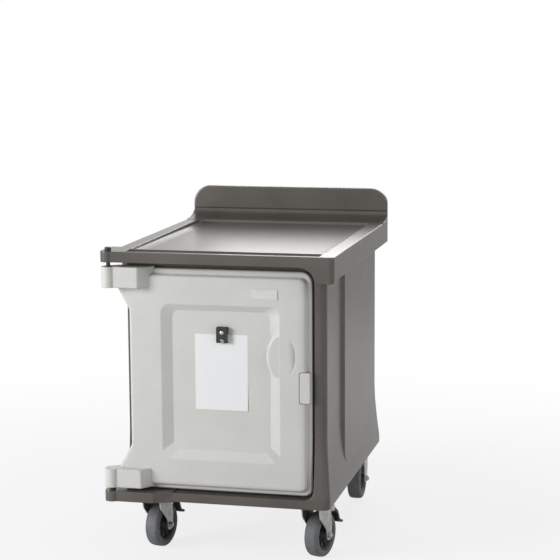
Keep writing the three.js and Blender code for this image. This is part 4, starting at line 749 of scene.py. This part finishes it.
@dataclass(frozen=True)
class Fitting:
    """A piece made for the scene: what carries it, its finish and a slot name, which is not used."""

    name: str
    body: str
    finish: Finish
    slot: str
    replaces: tuple[str, ...] = ()
    edge: EdgeBreak | EdgeShade = EdgeShade()

    def make(self, shape: bmesh.types.BMesh, place: Matrix = Matrix.Identity(4)) -> bpy.types.Object:
        """Turns a shape into a piece that rides on its body.

        Args:
            shape: the mesh, which is used up.
            place: where the piece goes.

        Returns:
            The new object.
        """
        mesh = bpy.data.meshes.new(self.name)
        shape.transform(place)
        shape.to_mesh(mesh)
        shape.free()
        piece = bpy.data.objects.new(self.name, mesh)
        bpy.context.scene.collection.objects.link(piece)
        paint(piece, self.finish)
        for polygon in mesh.polygons:
            polygon.use_smooth = True
        self.edge.apply(piece)
        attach(piece, self.body)
        if self.replaces:
            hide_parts(*self.replaces)
        LOG.info("made %s", self.name)
        return piece


def dress(finish: Finish, nodes: Sequence[str], edge: EdgeBreak) -> None:
    """Paints CAD nodes and softens their edges.

    Args:
        finish: the finish they get.
        nodes: their names.
        edge: how their edges are softened.
    """
    for name in nodes:
        piece = frame["nodes"][name]
        paint(piece, finish)
        edge.apply(piece)
        LOG.info("dressed %s", name)


def joint(name: str) -> dict[str, object]:
    """Finds a joint of the cart by its name."""
    return next(entry for entry in frame["joints"] if entry["name"] == name)


@dataclass(frozen=True)
class PanScrew:
    """Stainless pan-head screw with a socket, seen as its head."""

    radius: float = 4.6
    height: float = 2.4
    socket: float = 1.7
    shank_length: float = 4.0
    sides: int = 24

    def build(self, name: str, body: str, place: Vector, out: Vector) -> None:
        """Makes one screw head that sits on a surface.

        Args:
            name: of the piece.
            body: what carries it.
            place: point on the surface, in metres.
            out: where the head faces.
        """
        r, h, s = self.radius, self.height, self.socket
        profile = [
            (-self.shank_length, 0), (-self.shank_length, r * 0.45), (0.05, r * 0.45), (0.05, r),
            (h * 0.5, r), (h * 0.82, r * 0.9),
            (h, r * 0.62), (h, s), (h * 0.3, s), (h * 0.3, 0),
        ]
        fitting = Fitting(name, body, Finish.STAINLESS, "steel", edge=EdgeBreak(0.15, 2))
        fitting.make(lathed(profile, self.sides), set_down(out, place, Vector((0, 1, 0))))


# ---------------------------------------------------------------- the cart
@dataclass
class Cabinet:
    """Insulated body with the tray racks screwed to its inner walls.

    The screws are given from the middle of the cart's width, its front face and the floor, and to_frame
    leads from there to the cart's own frame.
    """

    edge: EdgeBreak = EdgeBreak(3.0, crease=28)
    rack_face: float = 260.7
    screw_rows: tuple[float, ...] = (297.0, 915.0)
    screw_places: tuple[float, ...] = (103.0, 461.0, 819.0)
    to_frame: tuple[float, float] = (16.5, -455.0)

    def build(self) -> None:
        """Dresses the body and its racks, and puts in the rack screws."""
        dress(Finish.TAUPE, ["cabinet_shell"], self.edge)
        dress(Finish.RACK, [name for name in frame["nodes"] if name.startswith("tray_")], EdgeBreak(0.8, 2))
        for side, word in ((-1, "left"), (1, "right")):
            for row, z in enumerate(self.screw_rows):
                for column, y in enumerate(self.screw_places):
                    place = Vector((
                        side * self.rack_face + self.to_frame[0], y + self.to_frame[1], z,
                    )) * MM
                    PanScrew().build(
                        f"rack_screw_{word}_{row + 1}_{column + 1}", "cabinet", place, Vector((-side, 0, 0)),
                    )


@dataclass
class Worktop:
    """Dished worktop with its push panel."""

    edge: EdgeBreak = EdgeBreak(4.0, crease=28)

    def build(self) -> None:
        """Dresses the worktop."""
        dress(Finish.TAUPE, ["worktop"], self.edge)


@dataclass
class Door:
    """Speckled door with its seal, blank name plate and hinge arms."""

    edge: EdgeBreak = EdgeBreak(3.0, crease=20)
    seal_width: float = 13.6
    seal_corner: float = 31.0
    seal_flange: float = 1.8
    seal_play: float = 0.2
    bulb_share: float = 0.62
    bulb_steps: int = 10
    border_width: float = 2.2
    border_relief: float = 0.5
    border_inset: float = 2.4
    border_corner: float = 2.0

    def build(self) -> None:
        """Dresses the door and makes its seal and the border of its plate."""
        dress(Finish.SPECKLE, ["door"], self.edge)
        dress(Finish.NAME_PLATE, ["name_plate"], EdgeBreak(0.5))
        self.seal()
        self.border()

    def seal(self) -> None:
        """Makes the hollow bulb seal: a flange on the door with a soft bulb on it."""
        low, high = (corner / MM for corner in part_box("door_gasket"))
        half = self.seal_width / 2
        flange, play = self.seal_flange, self.seal_play
        reach = high.y - low.y - play - flange
        turns = [math.pi * step / self.bulb_steps for step in range(self.bulb_steps + 1)]
        bulb = [(half * self.bulb_share * math.cos(turn), flange + reach * math.sin(turn)) for turn in turns]
        foot = [(half, 0.0), (half, flange * 2 / 3), (half * 0.7, flange)]
        section = [*foot, *bulb, *((-out, depth) for out, depth in reversed(foot))]
        middle, span = (low + high) / 2, (high - low) / 2
        shape = framed(section, span.x - half - play, span.z - half - play, self.seal_corner)
        place = Matrix.Translation(Vector((middle.x, low.y + play / 2, middle.z)) * MM)
        Fitting("door_bulb_seal", "door", Finish.SEAL, "gasket_rubber", ("door_gasket",)).make(shape, place)

    def border(self) -> None:
        """Makes the fine raised border of the blank name plate."""
        low, high = (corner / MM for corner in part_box("name_plate"))
        half, relief = self.border_width / 2, self.border_relief
        section = [(half, 0.1), (half * 0.4, -relief), (-half * 0.4, -relief), (-half, 0.1)]
        middle, span = (low + high) / 2, (high - low) / 2
        inset = self.border_inset
        shape = framed(section, span.x - inset, span.z - inset, self.border_corner, steps=4)
        place = Matrix.Translation(Vector((middle.x, low.y, middle.z)) * MM)
        Fitting("name_plate_border", "door", Finish.NAME_PLATE, "plate_plastic").make(shape, place)


@dataclass
class Hinge:
    """Two black-coated steel pins in nylon bushes, outside the front left edge."""

    def build(self) -> None:
        """Dresses the pins and the bushes."""
        dress(Finish.BLACK, ["upper_hinge_bush", "lower_hinge_bush"], EdgeBreak(0.5))
        dress(Finish.BLACK_STEEL, ["upper_hinge_pin", "lower_hinge_pin"], EdgeBreak(0.8))


@dataclass
class Latch:
    """Press-in paddle latch with its pin, its coil spring and the strike on the cabinet."""

    wire: float = 1.2
    wire_sides: int = 10
    turns: int = 5
    steps: int = 24
    spring_play: float = 0.05
    screw: PanScrew = PanScrew(3.6, 1.6, 1.4)
    screw_inset: float = 3.0
    screw_depth: float = 16.8
    screw_spread: float = 14.4

    def build(self) -> None:
        """Dresses the latch, winds its spring and puts in the strike's screws."""
        dress(Finish.SPECKLE, ["door_latch"], EdgeBreak(1.2, crease=30))
        dress(Finish.STAINLESS, ["latch_pin", "latch_strike"], EdgeBreak(0.3, 2))
        self.spring()
        low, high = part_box("latch_strike")
        middle = (low + high) / 2
        for index, side in enumerate((-1, 1)):
            shift = Vector((-self.screw_inset, self.screw_depth, side * self.screw_spread)) * MM
            place = Vector((high.x, low.y, middle.z)) + shift
            self.screw.build(f"strike_screw_{index + 1}", "cabinet", place, Vector((-1, 0, 0)))

    def spring(self) -> None:
        """Winds the spring that brings the paddle back out."""
        low, high = (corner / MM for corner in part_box("latch_spring"))
        middle = (low + high) / 2
        radius = (high.x - low.x - self.wire) / 2 - self.spring_play
        rise = high.z - low.z - self.wire - 2 * self.spring_play
        count = self.turns * self.steps
        route = [
            Vector((
                radius * math.cos(2 * math.pi * step / self.steps),
                radius * math.sin(2 * math.pi * step / self.steps),
                rise * (step / count - 0.5),
            ))
            for step in range(count + 1)
        ]
        fitting = Fitting("latch_coil_spring", "door", Finish.STAINLESS, "steel", ("latch_spring",))
        fitting.make(tube(route, self.wire / 2, self.wire_sides), Matrix.Translation(middle * MM))


@dataclass
class MenuHolder:
    """White card under a black spring clip."""

    columns: int = 14
    rows: int = 20
    curl: float = 2.2
    curled_share: float = 0.55
    card: float = 0.3
    face_ahead: float = 0.05

    def build(self) -> None:
        """Dresses the clip and makes the card, which has curled a little at its foot."""
        dress(Finish.BLACK, ["clip_base", "clip_lever"], EdgeBreak(0.6))
        dress(Finish.STAINLESS, ["clip_pin", "clip_rivet"], EdgeBreak(0.3, 2))
        low, high = (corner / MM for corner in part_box("menu_card"))
        shape = bmesh.new()
        front = [[
            shape.verts.new(Vector((
                low.x + (high.x - low.x) * u,
                high.y - self.face_ahead - self.lift(u, v),
                low.z + (high.z - low.z) * v,
            )) * MM)
            for u in (column / self.columns for column in range(self.columns + 1))
        ] for v in (row / self.rows for row in range(self.rows + 1))]
        join(shape, front)
        shape.normal_update()
        back = [[shape.verts.new(vert.co - vert.normal * self.card * MM) for vert in row] for row in front]
        join(shape, back)
        join(shape, [self.rim(front), self.rim(back)], closed=True)
        bmesh.ops.recalc_face_normals(shape, faces=shape.faces)
        Fitting("curled_card", "door", Finish.CARD, "card", ("menu_card",)).make(shape)

    @staticmethod
    def rim(face: Sequence[Sequence[bmesh.types.BMVert]]) -> list[bmesh.types.BMVert]:
        """Lists the points along the four edges of one face of the card, once round."""
        right, left = [row[-1] for row in face[:-1]], [row[0] for row in face[:0:-1]]
        return [*face[0][:-1], *right, *face[-1][:0:-1], *left]

    def lift(self, across: float, up: float) -> float:
        """How far the card stands off the door, in millimetres.

        Args:
            across: share of the card's width, from its left edge.
            up: share of its height, from its foot.

        Returns:
            The distance that its curl adds.
        """
        foot = max(0.0, self.curled_share - up) / self.curled_share
        return self.curl * foot ** 2 * (0.35 + 0.65 * across ** 2)


@dataclass
class Wheel:
    """Grey rubber tyre on a ribbed core, with a cap over each bearing."""

    place: str
    steps: int = 72
    ribs: int = 8
    rib: float = 3.0

    def build(self) -> None:
        """Makes the tyre, the core and the caps, and dresses the axle."""
        spin = joint(f"wheel_{self.place}_spin")
        where = set_down(Vector(spin["axis"]), Vector(spin["pos_m"]))
        body = f"wheel_{self.place}"
        core = Fitting(
            f"ribbed_core_{self.place}", body, Finish.CORE, "core_plastic", (f"wheel_hub_{self.place}",),
            EdgeBreak(0.5, 2),
        )
        core.make(self.core(), where)
        tyre = Fitting(
            f"rubber_tyre_{self.place}", body, Finish.TYRE, "tyre_rubber", (f"tyre_{self.place}",),
        )
        tyre.make(self.tyre(), where)
        dress(Finish.ZINC, [f"axle_{self.place}"], EdgeBreak(0.6, 2))

    def tyre(self) -> bmesh.types.BMesh:
        """Turns the tyre: rounded shoulders and a fine groove at each side of the tread.

        Returns:
            The tyre about its own middle.
        """
        right = [
            (20.0, 53.4), (23.4, 54.8), (24.6, 57.5), (24.9, 61.5), (24.4, 66.0), (23.2, 69.6), (21.2, 72.3),
            (18.6, 74.1), (17.2, 74.6), (16.8, 74.0), (16.2, 74.0), (15.8, 74.9), (11.0, 75.5), (5.0, 75.8),
        ]
        left = [(-x, radius) for x, radius in reversed(right)]
        return lathed([*right, (0.0, 75.9), *left], self.steps, closed=True)

    def core(self) -> bmesh.types.BMesh:
        """Makes the core: hub, web and rim turned in one, with ribs between hub and rim.

        Returns:
            The core about its own middle.
        """
        right = [
            (30.2, 6.4), (30.2, 16.4), (29.2, 17.4), (26.0, 17.8), (9.0, 21.0), (6.2, 23.0), (5.8, 26.0),
            (5.8, 42.0), (6.6, 44.5), (16.0, 47.4), (18.8, 48.4), (19.4, 50.0), (19.2, 52.8),
        ]
        left = [(-x, radius) for x, radius in reversed(right)]
        shape = lathed([*right, *left], self.steps, closed=True)
        for index in range(self.ribs):
            turn = Matrix.Rotation(2 * math.pi * (index + 0.5) / self.ribs, 4, "X")
            for side in (-1, 1):
                outline = [(5.0, 20.5), (13.5, 20.0), (11.0, 33.0), (15.0, 47.8), (5.0, 46.0)]
                near, far = ([
                    shape.verts.new(turn @ (Vector((side * along, across, radius)) * MM))
                    for along, radius in outline
                ] for across in (-self.rib / 2, self.rib / 2))
                shape.faces.new(near)
                shape.faces.new(far[::-1])
                join(shape, [near, far], closed=True)
        bmesh.ops.recalc_face_normals(shape, faces=shape.faces)
        return shape


@dataclass
class SwivelCaster:
    """Front caster: plate and race, turning fork, brake pedal and a dust ring round the race."""

    place: str
    ring: tuple[float, float] = (33.05, 34.8)
    ring_span: tuple[float, float] = (184.9, 187.6)

    def build(self) -> None:
        """Dresses the caster and makes its dust ring."""
        p = self.place
        pressings = ("caster_plate", "kingpin", "swivel_fork", "pedal_pin", "caster_insert")
        dress(Finish.ZINC, [f"{kind}_{p}" for kind in pressings], EdgeBreak(0.8, 2))
        dress(Finish.BLACK, [f"brake_pedal_{p}"], EdgeBreak(1.2))
        middle = Vector(joint(f"fork_{p}_swivel")["pos_m"])
        (inner, outer), (foot, top) = self.ring, self.ring_span
        profile = [
            (foot, inner), (foot, outer - 0.6), (foot + 0.6, outer), (top - 0.8, outer), (top, outer - 0.8),
            (top, inner),
        ]
        place = set_down(Vector((0, 0, 1)), Vector((middle.x, middle.y, 0)), Vector((0, 1, 0)))
        Fitting(f"race_dust_ring_{p}", f"fork_{p}", Finish.BLACK, "black_plastic").make(
            lathed(profile, 48, closed=True), place,
        )
        Wheel(p).build()


@dataclass
class RigidCaster:
    """Rear caster: a fixed bracket and its wheel."""

    place: str

    def build(self) -> None:
        """Dresses the bracket and builds the wheel."""
        dress(Finish.ZINC, [f"rigid_bracket_{self.place}", f"caster_insert_{self.place}"], EdgeBreak(0.8, 2))
        Wheel(self.place).build()


# ---------------------------------------------------------------- studio
@dataclass(frozen=True)
class PhotoCamera:
    """The view of the photograph, as a place beside the cart and three angles."""

    place: tuple[float, float, float] = (1449.8, -5737.5, 1794.4)
    yaw: float = 13.3
    pitch: float = 8.85
    roll: float = -0.33
    focal_pixels: float = 1720.95
    frame_pixels: float = 560.0
    sensor: float = 36.0

    def build(self) -> bpy.types.Object:
        """Makes the camera.

        Returns:
            The camera, set as the scene's.
        """
        yaw, pitch, roll = (math.radians(a) for a in (self.yaw, self.pitch, self.roll))
        ahead = Vector((-math.sin(yaw) * math.cos(pitch), math.cos(yaw) * math.cos(pitch), -math.sin(pitch)))
        level = Vector((math.cos(yaw), math.sin(yaw), 0.0))
        above = level.cross(ahead)
        right = math.cos(roll) * level + math.sin(roll) * above
        up = math.cos(roll) * above - math.sin(roll) * level
        data = bpy.data.cameras.new("photo_camera")
        data.sensor_width = self.sensor
        data.lens = self.focal_pixels / self.frame_pixels * self.sensor
        data.clip_end = 100
        camera = bpy.data.objects.new("photo_camera", data)
        bpy.context.scene.collection.objects.link(camera)
        turn = Matrix((right, up, -ahead)).transposed().to_4x4()
        camera.matrix_world = Matrix.Translation(Vector(self.place) * MM) @ turn
        bpy.context.scene.camera = camera
        return camera


@dataclass(frozen=True)
class SoftBox:
    """A large square lamp that points at the cart."""

    name: str
    place: tuple[float, float, float]
    size: float
    power: float
    colour: str = "ffffff"
    target: tuple[float, float, float] = (0.0, 0.0, 0.6)

    def build(self) -> None:
        """Hangs the lamp."""
        data = bpy.data.lights.new(self.name, "AREA")
        data.size = self.size
        data.energy = self.power
        data.color = linear(self.colour)[:3]
        lamp = bpy.data.objects.new(self.name, data)
        bpy.context.scene.collection.objects.link(lamp)
        lamp.location = self.place
        aim = Vector(self.target) - lamp.location
        lamp.rotation_euler = aim.to_track_quat("-Z", "Y").to_euler()


@dataclass(frozen=True)
class Studio:
    """White floor, white surroundings and soft lamps."""

    floor_half: float = 14.0
    floor_colour: str = "dcdcdc"
    near_glow: float = 0.8
    shadow_reach: tuple[float, float] = (1.0, 2.8)
    ambient: float = 0.26
    mirrored_floor: float = 0.4

    def build(self) -> None:
        """Builds the floor, the world and the lamps."""
        self.floor()
        self.world()
        for lamp in (
            SoftBox("key_softbox", (-4.0, -3.4, 2.0), 2.0, 215),
            SoftBox("fill_softbox", (4.2, -2.2, 2.2), 2.6, 42),
            SoftBox("back_softbox", (0.2, 3.4, 2.9), 3.0, 85, target=(0.0, 0.0, 1.0)),
        ):
            lamp.build()
        bpy.context.scene.view_settings.view_transform = "Standard"

    def floor(self) -> None:
        """Lays the floor, which shows white to the camera and keeps a soft shadow."""
        mesh = bpy.data.meshes.new("studio_floor")
        h = self.floor_half
        mesh.from_pydata([(-h, -h, 0), (h, -h, 0), (h, h, 0), (-h, h, 0)], [], [(0, 1, 2, 3)])
        floor = bpy.data.objects.new("studio_floor", mesh)
        bpy.context.scene.collection.objects.link(floor)
        material, tree = new_material("studio_floor_white")
        diffuse = add_node(tree, "ShaderNodeBsdfDiffuse", {"Color": linear(self.floor_colour)})
        glow = add_node(tree, "ShaderNodeEmission", {"Color": (1, 1, 1, 1), "Strength": 1.0})
        place = add_node(tree, "ShaderNodeTexCoord").outputs["Object"]
        away = add_node(tree, "ShaderNodeVectorMath", {"operation": "LENGTH"}, {0: place})
        clearing = add_node(
            tree, "ShaderNodeMapRange",
            {"From Min": self.shadow_reach[0], "From Max": self.shadow_reach[1], "To Min": self.near_glow},
            {"Value": away.outputs["Value"]},
        )
        share = add_node(
            tree, "ShaderNodeMath", {"operation": "MULTIPLY"},
            {0: self.shown(tree, self.mirrored_floor), 1: clearing.outputs[0]},
        )
        mix = add_node(
            tree, "ShaderNodeMixShader", links={0: share.outputs[0], 1: diffuse.outputs[0], 2: glow.outputs[0]},
        )
        add_node(tree, "ShaderNodeOutputMaterial", links={"Surface": mix.outputs[0]})
        mesh.materials.append(material)

    @staticmethod
    def shown(tree: bpy.types.NodeTree, mirrored: float = 1.0) -> bpy.types.NodeSocket:
        """Finds the rays that show the backdrop: the camera's own, mirrored and passed ones.

        Args:
            tree: the node tree that asks.
            mirrored: how much of the backdrop the mirrored rays show.

        Returns:
            A socket that is 1 for the camera's rays.
        """
        seen = add_node(tree, "ShaderNodeLightPath")
        mirror = add_node(
            tree, "ShaderNodeMath", {"operation": "MULTIPLY", 1: mirrored}, {0: seen.outputs["Is Glossy Ray"]},
        )
        direct = add_node(
            tree, "ShaderNodeMath", {"operation": "MAXIMUM"},
            {0: seen.outputs["Is Camera Ray"], 1: mirror.outputs[0]},
        )
        every = add_node(
            tree, "ShaderNodeMath", {"operation": "MAXIMUM"},
            {0: direct.outputs[0], 1: seen.outputs["Is Transmission Ray"]},
        )
        return every.outputs[0]

    def world(self) -> None:
        """Makes a world that looks white and lights the cart more gently."""
        world = bpy.data.worlds.new("studio_world")
        world.use_nodes = True
        tree = world.node_tree
        tree.nodes.clear()
        strength = add_node(
            tree, "ShaderNodeMapRange", {"To Min": self.ambient, "To Max": 1.0}, {"Value": self.shown(tree)},
        )
        light = add_node(
            tree, "ShaderNodeBackground", {"Color": (1, 1, 1, 1)}, {"Strength": strength.outputs[0]},
        )
        add_node(tree, "ShaderNodeOutputWorld", links={"Surface": light.outputs[0]})
        bpy.context.scene.world = world


def main() -> None:
    """Dresses the cart, builds its small fittings and sets the studio round it."""
    logging.basicConfig(level=logging.INFO, format="%(message)s")
    PhotoCamera().build()
    for part in (
        Cabinet(), Worktop(), Door(), Hinge(), Latch(), MenuHolder(),
        SwivelCaster("front_left"), SwivelCaster("front_right"),
        RigidCaster("rear_left"), RigidCaster("rear_right"),
    ):
        part.build()
        LOG.info("finished %s", type(part).__name__)
    Studio().build()


if __name__ == "__main__":
    main()
